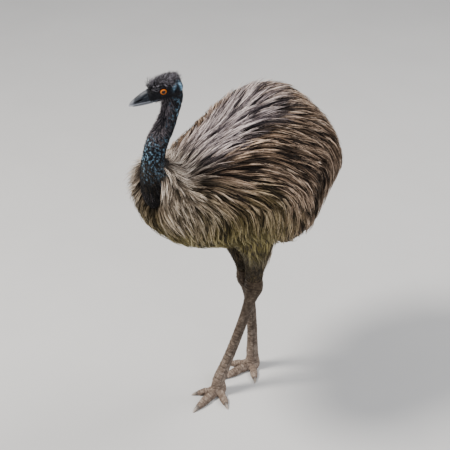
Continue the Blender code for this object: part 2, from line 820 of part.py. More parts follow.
def make_drumstick(side, collection, cutters):
    path = drumstick_path(side)
    drumstick = limb_form("leg_drumstick_" + side, path, LEG_SIDES, "core", collection)
    guide_form = limb_form("guide", path, LEG_SIDES, "outline", cutters)
    lowest = DRUMSTICK_ROWS[side][0][2] + LOCKS["leg_drumstick"][1] * 0.75

    def size_at(place):
        return float(lowest < place.z < DRUMSTICK_BARE_ABOVE)

    cover(drumstick, guide_form, drumstick_lie, size_at, LOCKS["leg_drumstick"], random.Random(SEED + 2))
    bpy.data.objects.remove(guide_form)
    keep_largest(drumstick)
    return drumstick


def ankle_point(side):
    x, y = ANKLE[side]
    return Vector((x, y, ANKLE_HEIGHT))


def shank_path(side):
    """Path from the ankle round the hock to the foot of the drumstick."""
    hock = Vector(HOCK[side])
    ankle = ankle_point(side)
    rows = []
    for share, half_width, half_depth, back in SHANK_ROWS:
        rows.append((*(ankle.lerp(hock, share) + Vector((0, back, 0))), half_width, half_depth))
    rows.append(DRUMSTICK_ROWS[side][0][:5])
    return lambda t: spline(rows, t)


def level_ring(centre, half_width, half_depth, sides):
    """Ring across the ankle, parallel to the floor."""
    return [centre + Vector((a, b, 0)) for a, b in oval(sides, half_width, half_depth, half_depth)]


def scute(ring_below, ring_above, columns, lift, collection):
    """Plate over part of two rings, its lower edge raised the most and its underside sunk in."""
    mesh = bmesh.new()
    loops = []
    for ring, height in ((ring_below, lift), (ring_above, lift * 0.35)):
        centre = sum(ring, Vector()) / len(ring)
        # Both side edges stand a little in from the ring's own corners
        places = [ring[i] for i in columns]
        places[0] = places[0].lerp(places[1], SCUTE_SIDE)
        places[-1] = places[-1].lerp(places[-2], SCUTE_SIDE)
        outward = [(place - centre).normalized() for place in places]
        loop = [place + out * height for place, out in zip(places, outward)]
        for k in (-1, 0):
            loop.append(places[k] - outward[k] * SCUTE_SINK)
        loops.append([mesh.verts.new(point) for point in loop])
    lower, upper = loops
    for i in range(len(lower)):
        j = (i + 1) % len(lower)
        mesh.faces.new((lower[i], lower[j], upper[j], upper[i]))
    mesh.faces.new(reversed(lower))
    mesh.faces.new(upper)
    bmesh.ops.recalc_face_normals(mesh, faces=mesh.faces)
    bmesh.ops.triangulate(mesh, faces=mesh.faces)
    return add_object("scute", mesh, collection)


def make_shank(side, collection):
    """Shank and hock, cut level at the ankle and square to the drumstick at the top."""
    ankle_ring = level_ring(ankle_point(side), *SHANK_ROWS[0][1:3], LEG_SIDES)
    hock_ring = tube_rings(drumstick_path(side), [0.0], LEG_SIDES)[0]
    down = -frame_at(drumstick_path(side), 0.0)[3] * GAP
    rings = [shift_ring(ankle_ring, Vector((0, 0, GAP)))]
    rings += tube_rings(shank_path(side), shares_between(*SHANK_SPAN, SHANK_RINGS), LEG_SIDES)
    rings.append(shift_ring(hock_ring, down))
    shank = add_object("leg_shank_" + side, loft(rings), collection)
    plates = new_collection("plates")
    # The front of a ring is half way round it
    columns = range(LEG_SIDES // 2 - 2, LEG_SIDES // 2 + 3)
    for k in range(SHANK_SCUTES):
        start = SCUTE_START + k * SCUTE_STEP
        below, above = tube_rings(shank_path(side), (start, start + SCUTE_LENGTH), LEG_SIDES)
        scute(below, above, columns, SCUTE_LIFT, plates)
    fuse(shank, plates)
    keep_largest(shank)
    return shank


def toe_ring(at, across, half_width, height):
    """Ring of a toe with a flat sole on the floor, standing across its direction."""
    arch = TOE_ARCH
    points = [at - across * half_width * 0.72, at + across * half_width * 0.72]
    for i in range(arch + 1):
        angle = math.pi * i / arch
        wide = math.cos(angle) * half_width
        tall = height * (0.30 + 0.70 * math.sin(angle) ** 0.9)
        points.append(at + across * wide + Vector((0, 0, tall)))
    return points


def toe_ring_at(side, toe, share):
    """Ring of a toe at a share of its length, between the rows of its profile."""
    length, half_width, height = TOE_SIZES[toe]
    forward, across = toe_axes(side, toe)
    for (start, wide, tall), (end, next_wide, next_tall) in zip(TOE_PROFILE, TOE_PROFILE[1:]):
        if share <= end:
            part = (share - start) / (end - start)
            break
    wide += (next_wide - wide) * part
    tall += (next_tall - tall) * part
    place = Vector((*ANKLE[side], 0)) + forward * length * share
    return toe_ring(place, across, half_width * wide, height * tall)


def toe_axes(side, toe):
    heading = math.radians(TOE_HEADINGS[side][toe])
    forward = Vector((math.sin(heading), -math.cos(heading), 0))
    return forward, forward.cross(Vector((0, 0, 1)))


def toe_form(side, toe, collection):
    length, half_width, height = TOE_SIZES[toe]
    forward, across = toe_axes(side, toe)
    base = Vector((*ANKLE[side], 0))
    rings = []
    for share, wide, tall in TOE_PROFILE:
        rings.append(toe_ring(base + forward * length * share, across, half_width * wide, height * tall))
    return add_object("toe", loft(rings), collection)


# Toe from the pad's middle to the root of the claw: share of length, width and height
TOE_PROFILE = (
    (0.05, 0.90, 1.05),
    (0.32, 1.04, 1.10),
    (0.50, 0.90, 0.88),
    (0.64, 1.00, 0.90),
    (0.84, 0.84, 0.74),
    (1.00, 0.62, 0.58),
)
CLAW_PROFILE = (
    (0.00, 0.50, 0.52),
    (0.35, 0.44, 0.46),
    (0.70, 0.28, 0.30),
    (1.00, 0.07, 0.08),
)


def make_foot(side, collection, cutters):
    ankle = ankle_point(side)
    rings = [level_ring(ankle, *SHANK_ROWS[0][1:3], LEG_SIDES)]
    for share, half_width, half_depth in PAD_ROWS:
        centre = Vector((ankle.x, ankle.y, ANKLE_HEIGHT * (1 - share)))
        rings.append(level_ring(centre, half_width, half_depth, LEG_SIDES))
    foot = add_object("foot_" + side, loft(rings), collection)
    for toe in TOE_SIZES:
        boolean(foot, toe_form(side, toe, cutters), "UNION")
    plates = new_collection("plates")
    for toe, count in TOE_SCUTES.items():
        first, last = TOE_SCUTE_SPAN
        step = (last - first) / count
        for k in range(count):
            inner, outer = [toe_ring_at(side, toe, first + (k + end) * step) for end in TOE_SCUTE_ENDS]
            # The top of a toe's ring is its sixth point, counted from its sole
            scute(outer, inner, range(4, 7), TOE_SCUTE_LIFT, plates)
    fuse(foot, plates)
    keep_largest(foot)
    return foot


def make_claws(side, collection):
    claws = []
    for toe, claw_length in CLAW_LENGTHS.items():
        length, half_width, height = TOE_SIZES[toe]
        forward, across = toe_axes(side, toe)
        base = Vector((*ANKLE[side], 0)) + forward * (length + GAP)
        rings = []
        for share, wide, tall in CLAW_PROFILE:
            at = base + forward * claw_length * share + Vector((0, 0, 0.0006))
            rings.append(toe_ring(at, across, half_width * wide, height * tall))
        claws.append(add_object(f"claw_{toe}_{side}", loft(rings), collection))
    return claws


# Finish

COLOURS = {
    "torso": (0.23, 0.17, 0.12),
    "tail": (0.19, 0.15, 0.09),
    "neck_lower": (0.05, 0.05, 0.05),
    "neck_upper": (0.04, 0.045, 0.05),
    "head": (0.04, 0.04, 0.045),
    "bill": (0.07, 0.075, 0.085),
    "eye": (0.80, 0.30, 0.03),
    "leg_drumstick": (0.13, 0.10, 0.05),
    "leg_shank": (0.20, 0.16, 0.13),
    "foot": (0.28, 0.22, 0.19),
    "claw": (0.42, 0.36, 0.30),
}
ROUGHNESS = {"eye": 0.08, "bill": 0.35, "claw": 0.45, "leg_shank": 0.6, "foot": 0.6}


def add_material(made):
    key = next(name for name in COLOURS if made.name.startswith(name))
    material = bpy.data.materials.new(made.name)
    material.use_nodes = True
    shader = material.node_tree.nodes["Principled BSDF"]
    shader.inputs["Base Color"].default_value = (*COLOURS[key], 1.0)
    shader.inputs["Roughness"].default_value = ROUGHNESS.get(key, 0.85)
    shader.inputs["Metallic"].default_value = 0.0
    made.data.materials.clear()
    made.data.materials.append(material)


def new_collection(name):
    made = bpy.data.collections.new(name)
    bpy.context.scene.collection.children.link(made)
    return made


def main():
    for old in list(bpy.data.objects):
        bpy.data.objects.remove(old)
    emu = new_collection("emu")
    cutters = new_collection("cutters")
    pieces = [make_torso(emu, cutters), make_tail(emu, cutters)]
    pieces.append(neck_piece("neck_lower", 0.0, NECK_MID_T, 11, emu))
    pieces.append(neck_piece("neck_upper", NECK_MID_T, NECK_TOP_T, 8, emu))
    pieces.append(make_head(emu, cutters))
    pieces += make_bill(emu, cutters)
    pieces += make_eyes(emu)
    for side in ("L", "R"):
        pieces.append(make_drumstick(side, emu, cutters))
        pieces.append(make_shank(side, emu))
        pieces.append(make_foot(side, emu, cutters))
        pieces += make_claws(side, emu)
    for made in pieces:
        add_material(made)


main()
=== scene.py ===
"""Looks of a life-size museum model of an emu: skin, plumage, bill, eyes, scaled legs and claws.

Metres, +Z up. The bird faces -Y and its left side is +X. The tables of named sizes match the solids.
"""
from collections import namedtuple
from itertools import product
import math

import bmesh
import bpy
import numpy as np
from mathutils import Matrix, noise, Vector
from mathutils.bvhtree import BVHTree


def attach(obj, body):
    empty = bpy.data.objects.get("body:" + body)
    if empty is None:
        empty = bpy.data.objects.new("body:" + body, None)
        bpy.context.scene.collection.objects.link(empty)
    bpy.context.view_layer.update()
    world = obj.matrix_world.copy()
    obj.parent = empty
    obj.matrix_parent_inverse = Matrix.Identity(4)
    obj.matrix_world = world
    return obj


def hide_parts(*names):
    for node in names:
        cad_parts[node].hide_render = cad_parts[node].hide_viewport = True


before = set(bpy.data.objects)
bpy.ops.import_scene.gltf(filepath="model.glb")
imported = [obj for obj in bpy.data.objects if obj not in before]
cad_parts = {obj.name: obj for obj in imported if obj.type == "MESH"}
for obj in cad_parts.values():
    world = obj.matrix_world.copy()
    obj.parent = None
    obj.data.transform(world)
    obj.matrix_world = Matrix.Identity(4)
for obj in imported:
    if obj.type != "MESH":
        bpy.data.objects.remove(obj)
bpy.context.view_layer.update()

SEED = 11

# Body with its plumage, front to rear: y, top, bottom, half width, height of the widest line, roundness
BODY_ROWS = (
    (-0.375, 0.890, 0.870, 0.012, 0.880, 2.00),
    (-0.366, 0.935, 0.820, 0.062, 0.876, 1.90),
    (-0.340, 0.970, 0.775, 0.106, 0.870, 1.60),
    (-0.285, 0.984, 0.722, 0.152, 0.864, 1.36),
    (-0.200, 1.010, 0.678, 0.196, 0.858, 1.34),
    (-0.090, 1.046, 0.645, 0.230, 0.854, 1.37),
    (0.020, 1.090, 0.628, 0.246, 0.852, 1.42),
    (0.120, 1.112, 0.632, 0.245, 0.855, 1.50),
    (0.205, 1.088, 0.640, 0.230, 0.858, 1.60),
    (0.265, 1.042, 0.658, 0.208, 0.856, 1.70),
    (0.315, 0.984, 0.685, 0.171, 0.845, 1.80),
    (0.345, 0.920, 0.725, 0.115, 0.822, 1.90),
    (0.358, 0.855, 0.760, 0.050, 0.802, 2.00),
    (0.362, 0.820, 0.785, 0.012, 0.800, 2.00),
)
BODY_RINGS, BODY_SIDES = 60, 64
BELLY_ROUNDNESS = 2.1
# Loose fringe of the rear flanks: how far it hangs below the rows, and where
REAR_FRINGE = 0.020
REAR_FRINGE_AT = 0.090
# Tail: x, y, z, half width, half depth, how far the core lies below the tips
TAIL_ROWS = (
    (0.0, 0.160, 0.960, 0.085, 0.055, 0.000),
    (0.0, 0.210, 0.940, 0.115, 0.075, 0.004),
    (0.0, 0.262, 0.905, 0.138, 0.088, 0.012),
    (0.0, 0.300, 0.855, 0.148, 0.090, 0.020),
    (0.0, 0.324, 0.800, 0.138, 0.078, 0.022),
    (0.0, 0.336, 0.745, 0.116, 0.062, 0.020),
    (0.0, 0.342, 0.695, 0.088, 0.046, 0.016),
    (0.0, 0.345, 0.645, 0.062, 0.032, 0.010),
)
# Neck, bottom to top: x, y, z, half width, half depth
NECK_ROWS = (
    (0.000, -0.292, 0.850, 0.026, 0.026),
    (0.000, -0.318, 0.878, 0.033, 0.033),
    (0.000, -0.339, 0.914, 0.0375, 0.037),
    (0.000, -0.346, 0.965, 0.0385, 0.038),
    (0.000, -0.343, 1.020, 0.0365, 0.0365),
    (0.000, -0.326, 1.078, 0.0335, 0.0335),
    (0.000, -0.295, 1.122, 0.0305, 0.0305),
    (0.002, -0.276, 1.160, 0.0275, 0.0280),
    (0.006, -0.273, 1.192, 0.0270, 0.0290),
    (0.010, -0.277, 1.224, 0.0235, 0.0250),
)
# Collar of plumage round the base of the neck: y, z, half width, half depth
COLLAR_ROWS = (
    (-0.334, 1.036, 0.043, 0.042),
    (-0.326, 1.005, 0.064, 0.056),
    (-0.312, 0.965, 0.092, 0.066),
    (-0.298, 0.915, 0.127, 0.072),
    (-0.285, 0.870, 0.127, 0.064),
)
# Head frame and skull, rear to front: forward, top, bottom, half width, height of the widest line
HEAD_AT = (0.000, -0.300, 1.254)
HEAD_TURN = math.radians(30.0)
HEAD_TIP = math.radians(13.0)
HEAD_ROWS = (
    (-0.0590, -0.004, -0.010, 0.003, -0.007),
    (-0.0565, 0.007, -0.021, 0.014, -0.007),
    (-0.0465, 0.018, -0.031, 0.0225, -0.006),
    (-0.0290, 0.0260, -0.036, 0.0275, -0.005),
    (-0.0080, 0.0275, -0.037, 0.0275, -0.002),
    (0.0080, 0.0240, -0.0365, 0.0265, -0.002),
    (0.0210, 0.0165, -0.0355, 0.0232, -0.006),
    (0.0310, 0.0095, -0.0350, 0.0205, -0.013),
    (0.0370, 0.0065, -0.0345, 0.0190, -0.016),
)
# Bill in the head frame: forward, edge, half width
CULMEN_ROWS = (
    (0.0370, 0.0065, 0.0190),
    (0.0500, 0.0050, 0.0168),
    (0.0640, 0.0005, 0.0140),
    (0.0780, -0.0055, 0.0112),
    (0.0900, -0.0115, 0.0085),
    (0.0990, -0.0178, 0.0058),
    (0.1050, -0.0250, 0.0022),
)
GONYS_ROWS = (
    (0.0370, -0.0345, 0.0180),
    (0.0520, -0.0345, 0.0150),
    (0.0680, -0.0340, 0.0118),
    (0.0820, -0.0325, 0.0088),
    (0.0930, -0.0300, 0.0058),
    (0.0985, -0.0280, 0.0024),
)
# Places and sizes in the head frame
MOUTH_HEIGHT = -0.0262
MOUTH_CORNER = 0.0210
EYE_SIDE = 0.0192
EYE_RADIUS = 0.0130
IRIS_SQUASH = 1.12
EAR_AT = (-0.0330, -0.0100)
NOSTRIL_AT = (0.0725, -0.0145)
NOSTRIL_SLOPE = -0.18
NOSTRIL_LONG = 5.2
# Half of the hair's breadth between the halves of the bill
BILL_PARTING = 0.00015

# Drumstick, hock to thigh: x, y, z, half width, half depth, how far the core lies below the feathers
DRUMSTICK_ROWS = {
    "L": (
        (0.0350, 0.0490, 0.436, 0.0280, 0.0290, 0.000),
        (0.0400, 0.0460, 0.465, 0.0310, 0.0330, 0.003),
        (0.0570, 0.0350, 0.520, 0.0390, 0.0440, 0.006),
        (0.0780, 0.0170, 0.580, 0.0480, 0.0580, 0.008),
        (0.1000, -0.0070, 0.640, 0.0560, 0.0700, 0.006),
        (0.1150, -0.0300, 0.700, 0.0560, 0.0760, 0.000),
        (0.1200, -0.0450, 0.745, 0.0500, 0.0700, 0.000),
    ),
    "R": (
        (-0.0310, 0.0700, 0.435, 0.0280, 0.0290, 0.000),
        (-0.0370, 0.0670, 0.464, 0.0310, 0.0330, 0.003),
        (-0.0560, 0.0580, 0.522, 0.0390, 0.0440, 0.006),
        (-0.0790, 0.0440, 0.582, 0.0480, 0.0580, 0.008),
        (-0.1000, 0.0230, 0.640, 0.0560, 0.0700, 0.006),
        (-0.1150, 0.0000, 0.700, 0.0560, 0.0760, 0.000),
        (-0.1200, -0.0150, 0.745, 0.0500, 0.0700, 0.000),
    ),
}
# Joints of each leg, and the toes: heading in degrees, then length, half width and height
ANKLE = {"L": (0.010, -0.092), "R": (-0.010, 0.092)}
ANKLE_HEIGHT = 0.050
SHANK_LENGTH = 0.38
HOCK = {"L": (0.034, 0.052, 0.405), "R": (-0.030, 0.070, 0.404)}
TOE_HEADINGS = {
    "L": {"inner": -31.0, "middle": 9.0, "outer": 66.0},
    "R": {"inner": 52.0, "middle": -8.0, "outer": -48.0},
}
TOE_SIZES = {
    "inner": (0.076, 0.0135, 0.024),
    "middle": (0.114, 0.0155, 0.029),
    "outer": (0.078, 0.0140, 0.025),
}
CLAW_LENGTHS = {"inner": 0.021, "middle": 0.027, "outer": 0.022}
# Shank, ankle to hock: share, half width, half depth, how far it bows to the rear
SHANK_ROWS = (
    (0.000, 0.0225, 0.0210, 0.000),
    (0.070, 0.0215, 0.0200, 0.001),
    (0.200, 0.0180, 0.0185, 0.006),
    (0.400, 0.0160, 0.0185, 0.011),
    (0.620, 0.0160, 0.0190, 0.012),
    (0.790, 0.0180, 0.0205, 0.009),
    (0.890, 0.0235, 0.0255, 0.006),
    (0.965, 0.0300, 0.0315, 0.003),
)
# Foot pad from the ankle down: share, half width, half depth
PAD_ROWS = (
    (0.00, 0.0225, 0.0210),
    (0.25, 0.0240, 0.0230),
    (0.60, 0.0265, 0.0268),
    (0.92, 0.0245, 0.0258),
    (1.00, 0.0200, 0.0215),
)
# Toes and claws from root to tip: share of the length, then of the half width and height
TOE_PROFILE = (
    (0.05, 0.90, 1.05),
    (0.32, 1.04, 1.10),
    (0.50, 0.90, 0.88),
    (0.64, 1.00, 0.90),
    (0.84, 0.84, 0.74),
    (1.00, 0.62, 0.58),
)
CLAW_PROFILE = (
    (0.00, 0.50, 0.52),
    (0.35, 0.44, 0.46),
    (0.70, 0.28, 0.30),
    (1.00, 0.05, 0.06),
)
LEFT_RIGHT = ("L", "R")
SOLE_HEIGHT = 0.0004


# Small geometry

def rows_at(rows, t):
    """Points at shares t of a smooth curve through the rows."""
    rows = np.asarray(rows, float)
    x = np.clip(t, 0, 1) * (len(rows) - 1)
    i = np.minimum(x.astype(int), len(rows) - 2)
    f = (x - i)[:, None]
    p0, p1 = rows[np.maximum(i - 1, 0)], rows[i]
    p2, p3 = rows[i + 1], rows[np.minimum(i + 2, len(rows) - 1)]
    m1, m2 = (p2 - p0) / 2, (p3 - p1) / 2
    f2, f3 = f * f, f * f * f
    return (2 * f3 - 3 * f2 + 1) * p1 + (f3 - 2 * f2 + f) * m1 + (3 * f2 - 2 * f3) * p2 + (f3 - f2) * m2


def smooth(value, start, end):
    """0 before start, 1 after end, and smooth between them."""
    share = np.clip((np.asarray(value, float) - start) / (end - start), 0, 1)
    return share * share * (3 - 2 * share)


def fall(value, start, end):
    """1 before start, 0 after end, and smooth between them."""
    return smooth(-np.asarray(value, float), -end, -start)


def bump_at(distance, width):
    """Bell of height 1 over a distance."""
    return np.exp(-(np.asarray(distance) / width) ** 2)


def carve(marks):
    """Sum of bells, each with its height, the distance from it, its width and shares of its strength."""
    total = 0
    for height, distance, width, *shares in marks:
        bell = height * bump_at(distance, width)
        for share in shares:
            bell = bell * share
        total = total + bell
    return total


def unit(vectors):
    return vectors / np.maximum(np.linalg.norm(vectors, axis=-1, keepdims=True), 1e-9)


def oval(sides, half_width, up, down, power=2.0, down_power=None):
    """Points of a rounded outline whose upper and lower halves can differ."""
    angle = 2 * np.pi * np.arange(sides) / sides
    height = np.cos(angle)
    round_by = np.where(height > 0, 2 / power, 2 / (down_power or power))
    across = np.sign(np.sin(angle)) * np.abs(np.sin(angle)) ** round_by * half_width
    return across, np.sign(height) * np.abs(height) ** round_by * np.where(height > 0, up, down)


def ring_of(*axes):
    """Points of a ring from their x, y and z, of which some are the same all round."""
    return np.stack(np.broadcast_arrays(*axes), 1)


def add_object(name, data):
    made = bpy.data.objects.new(name, data)
    bpy.context.scene.collection.objects.link(made)
    return made


def object_from(name, mesh):
    """New object that takes over a bmesh."""
    data = bpy.data.meshes.new(name)
    mesh.to_mesh(data)
    mesh.free()
    return add_object(name, data)


def new_object(name, verts, faces):
    data = bpy.data.meshes.new(name)
    data.from_pydata([tuple(v) for v in verts], [], faces)
    data.validate()
    return add_object(name, data)


def loft(name, rings):
    """Closed tube through rings, given as an array of ring, point and axis."""
    rings = np.asarray(rings, float)
    count, sides = rings.shape[:2]
    faces = []
    for low in range(0, (count - 1) * sides, sides):
        for i in range(sides):
            j = (i + 1) % sides
            faces.append((low + i, low + j, low + sides + j, low + sides + i))
    faces.append(tuple(reversed(range(sides))))
    faces.append(tuple(range((count - 1) * sides, count * sides)))
    made = new_object(name, rings.reshape(-1, 3), faces)
    mesh = bmesh.new()
    mesh.from_mesh(made.data)
    bmesh.ops.recalc_face_normals(mesh, faces=mesh.faces)
    mesh.to_mesh(made.data)
    mesh.free()
    return made


def tube(name, rows, inset=0.0, sides=40):
    """Closed tube along rows of x, y, z, half width and half depth."""
    points, half_widths, half_depths = rows[:, :3], rows[:, 3] - inset, rows[:, 4] - inset
    direction = unit(np.gradient(points, axis=0))
    side = unit(np.array([1.0, 0, 0]) - direction * direction[:, :1])
    forward = np.cross(direction, side)
    across, tall = oval(sides, 1.0, 1.0, 1.0)
    rings = points[:, None] + side[:, None] * across[:, None] * half_widths[:, None, None]
    return loft(name, rings + forward[:, None] * tall[:, None] * half_depths[:, None, None])


def add_modifier(made, kind, **settings):
    modifier = made.modifiers.new(kind.lower(), kind)
    for key, value in settings.items():
        setattr(modifier, key, value)


def apply_all(made):
    depsgraph = bpy.context.evaluated_depsgraph_get()
    old = made.data
    made.data = bpy.data.meshes.new_from_object(made.evaluated_get(depsgraph))
    made.modifiers.clear()
    bpy.data.meshes.remove(old)
    return made


def merge(name, objects, voxel, rounds):
    """One closed skin round several closed forms, remeshed and evened."""
    mesh = bmesh.new()
    for made in objects:
        mesh.from_mesh(made.data)
        bpy.data.objects.remove(made)
    joined = object_from(name, mesh)
    add_modifier(joined, "REMESH", mode="VOXEL", voxel_size=voxel)
    add_modifier(joined, "SMOOTH", iterations=rounds, factor=0.5)
    return apply_all(joined)


def combine(target, other, operation="UNION"):
    add_modifier(target, "BOOLEAN", operation=operation, solver="MANIFOLD", object=other)
    apply_all(target)
    bpy.data.objects.remove(other)


def read_points(made, key):
    flat = np.empty(len(made.data.vertices) * 3, np.float32)
    made.data.vertices.foreach_get(key, flat)
    return flat.reshape(-1, 3).astype(float)


def places_of(made):
    return read_points(made, "co")


def displace(made, change, floor=-1.0):
    """Moves each vertex along its normal, but not below the floor."""
    places = places_of(made) + read_points(made, "normal") * change[:, None]
    places[:, 2] = np.maximum(places[:, 2], floor)
    made.data.vertices.foreach_set("co", places.astype(np.float32).ravel())
    made.data.update()


def set_value(made, name, values):
    layer = made.data.attributes.new(name, "FLOAT", "POINT")
    layer.data.foreach_set("value", np.asarray(values, np.float32))


def shade_smooth(made):
    made.data.polygons.foreach_set("use_smooth", [True] * len(made.data.polygons))


def tree_of(made):
    mesh = bmesh.new()
    mesh.from_mesh(made.data)
    tree = BVHTree.FromBMesh(mesh)
    mesh.free()
    return tree


def waves(places, size, seed):
    """Smooth random value of about -1 to 1 over space, with features of about the given size."""
    draw = np.random.default_rng(seed)
    total = np.zeros(places.shape[:-1])
    for octave in range(3):
        for _ in range(4):
            lean = unit(draw.normal(size=3)) * 2 * np.pi / size * 1.9 ** octave
            total += np.sin(places @ lean + draw.uniform(0, 2 * np.pi)) * 0.6 ** octave
    return total / 3.2


# Forms

def body_rings(inset):
    """Rings of the body out to the tips of its plumage, or further in."""
    rings = []
    for y, top, bottom, half_width, widest, ridge in rows_at(BODY_ROWS, np.linspace(0, 1, BODY_RINGS)):
        fringe = 0 if inset else bump_at(y - REAR_FRINGE_AT, 0.085)
        low = widest - bottom + REAR_FRINGE * fringe
        round_below = BELLY_ROUNDNESS + fringe - 0.6 * float(smooth(y, 0.13, 0.2))
        across, tall = oval(BODY_SIDES, half_width, top - widest, low, ridge, round_below)
        rings.append(ring_of(across, y, widest + tall))
    rings = np.array(rings)
    if inset:
        outward = rings - rings.mean(1, keepdims=True)
        around = np.roll(rings, -1, 1) - np.roll(rings, 1, 1)
        normal = unit(np.cross(around, np.gradient(rings, axis=0)))
        normal *= np.sign((normal * outward).sum(-1, keepdims=True))
        rings = (rings - normal * inset)[3:-3]
    return rings


def collar_rings(inset):
    rings = []
    for y, z, half_width, half_depth in rows_at(COLLAR_ROWS, np.linspace(0, 1, 16)):
        across, tall = oval(48, half_width - inset, half_depth - inset, half_depth - inset)
        rings.append(ring_of(across, y + tall, z))
    return rings


def limb(name, rows, inset_share, end=1.0):
    """Tube whose core lies below its feathers by a share of the rows' last value."""
    values = rows_at(rows, np.linspace(0, end, 40))
    return tube(name, values, np.maximum(values[:, 5], 0) * inset_share)


# Fuller top of the neck, where it runs into the jaw and the nape
NAPE_ROWS = (
    (0.0020, -0.2760, 1.160, 0.0275, 0.0280),
    (0.0060, -0.2700, 1.190, 0.0272, 0.0320),
    (0.0100, -0.2675, 1.215, 0.0270, 0.0355),
    (0.0115, -0.2710, 1.238, 0.0245, 0.0320),
)


def neck_tube(name, start, end, inset, count=60, rows=NECK_ROWS):
    return tube(name, rows_at(rows, np.linspace(start, end, count)), inset, 48)


HEAD_TURNED = Matrix.Rotation(-HEAD_TURN, 4, "Z") @ Matrix.Rotation(HEAD_TIP, 4, "X")
HEAD_MATRIX = np.array(Matrix.Translation(HEAD_AT) @ HEAD_TURNED)


def from_head(local):
    """World places of points given as forward, side and up in the head frame."""
    local = np.asarray(local, float)
    turned = np.stack([local[..., 1], -local[..., 0], local[..., 2]], -1)
    return turned @ HEAD_MATRIX[:3, :3].T + HEAD_MATRIX[:3, 3]


def to_head(places):
    """Forward, side and up in the head frame of world places."""
    local = (np.asarray(places, float) - HEAD_MATRIX[:3, 3]) @ HEAD_MATRIX[:3, :3]
    return np.stack([-local[..., 1], local[..., 0], local[..., 2]], -1)


# The feathered skin runs a little way over the base of the bill
SKIN_FRONT_ROWS = (
    (0.0400, 0.0073, -0.0353, 0.0199, -0.016),
    (0.0430, 0.0063, -0.0347, 0.0192, -0.016),
    (0.0452, 0.0000, -0.0290, 0.0140, -0.016),
)


def skull():
    rings = []
    values = rows_at(HEAD_ROWS + SKIN_FRONT_ROWS, np.linspace(0, 1, 80))
    for forward, top, bottom, half_width, widest in values:
        across, tall = oval(64, half_width, top - widest, widest - bottom, 2.2)
        rings.append(ring_of(forward, across, widest + tall))
    return loft("skull", from_head(np.array(rings)))


def ankle_at(side, height=0.0):
    return np.array([*ANKLE[side], height])


def shank_rows(side):
    ankle = ankle_at(side, ANKLE_HEIGHT)
    rows = []
    for share, half_width, half_depth, back in SHANK_ROWS:
        place = ankle + (np.array(HOCK[side]) - ankle) * share + np.array([0, back, 0])
        rows.append((*place, half_width, half_depth))
    return rows + [DRUMSTICK_ROWS[side][0][:5]]


def toe_axes(side, toe):
    heading = math.radians(TOE_HEADINGS[side][toe])
    forward = np.array([math.sin(heading), -math.cos(heading), 0.0])
    return forward, np.cross(forward, [0, 0, 1.0])


def toe_ring(at, across, half_width, height, arch=20):
    """Ring of a toe with a flat sole, standing across its direction."""
    angle = np.pi * np.arange(arch + 1) / arch
    wide = np.cos(angle) * half_width
    tall = height * (0.3 + 0.7 * np.sin(angle) ** 0.9)
    points = [at - across * half_width * 0.72, at + across * half_width * 0.72]
    points += [at + across * w + np.array([0, 0, h]) for w, h in zip(wide, tall)]
    return np.array(points)


def toe_rings(side, toe):
    length, half_width, height = TOE_SIZES[toe]
    forward, across = toe_axes(side, toe)
    shares = np.array([row[0] for row in TOE_PROFILE])
    steps = np.linspace(shares[0], shares[-1], 36)
    rings = []
    for share, wide, tall in rows_at(TOE_PROFILE, np.interp(steps, shares, np.linspace(0, 1, len(shares)))):
        at = ankle_at(side) + forward * length * share
        rings.append(toe_ring(at, across, half_width * wide, height * tall))
    return rings


# Skin

VOXEL_BODY, VOXEL_HEAD, VOXEL_LEG = ((0.0055, 0.00125, 0.0016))
# How far the skin lies below the plumage's tips, the collar's and the feathered neck's own surface
SKIN_DEPTH = 0.03
COLLAR_DEPTH = 0.016
NECK_BASE_DEPTH = 0.006
NECK_SKIN_DEPTH = 0.0025


def make_body_skin():
    forms = [loft("body", body_rings(SKIN_DEPTH)), loft("collar", collar_rings(COLLAR_DEPTH)),
             limb("tail", TAIL_ROWS, 1.25, 0.8), neck_tube("neck", 0.0, 0.3, NECK_BASE_DEPTH)]
    forms += [limb("drumstick", DRUMSTICK_ROWS[side], 1.0) for side in LEFT_RIGHT]
    return merge("skin", forms, VOXEL_BODY, 3)


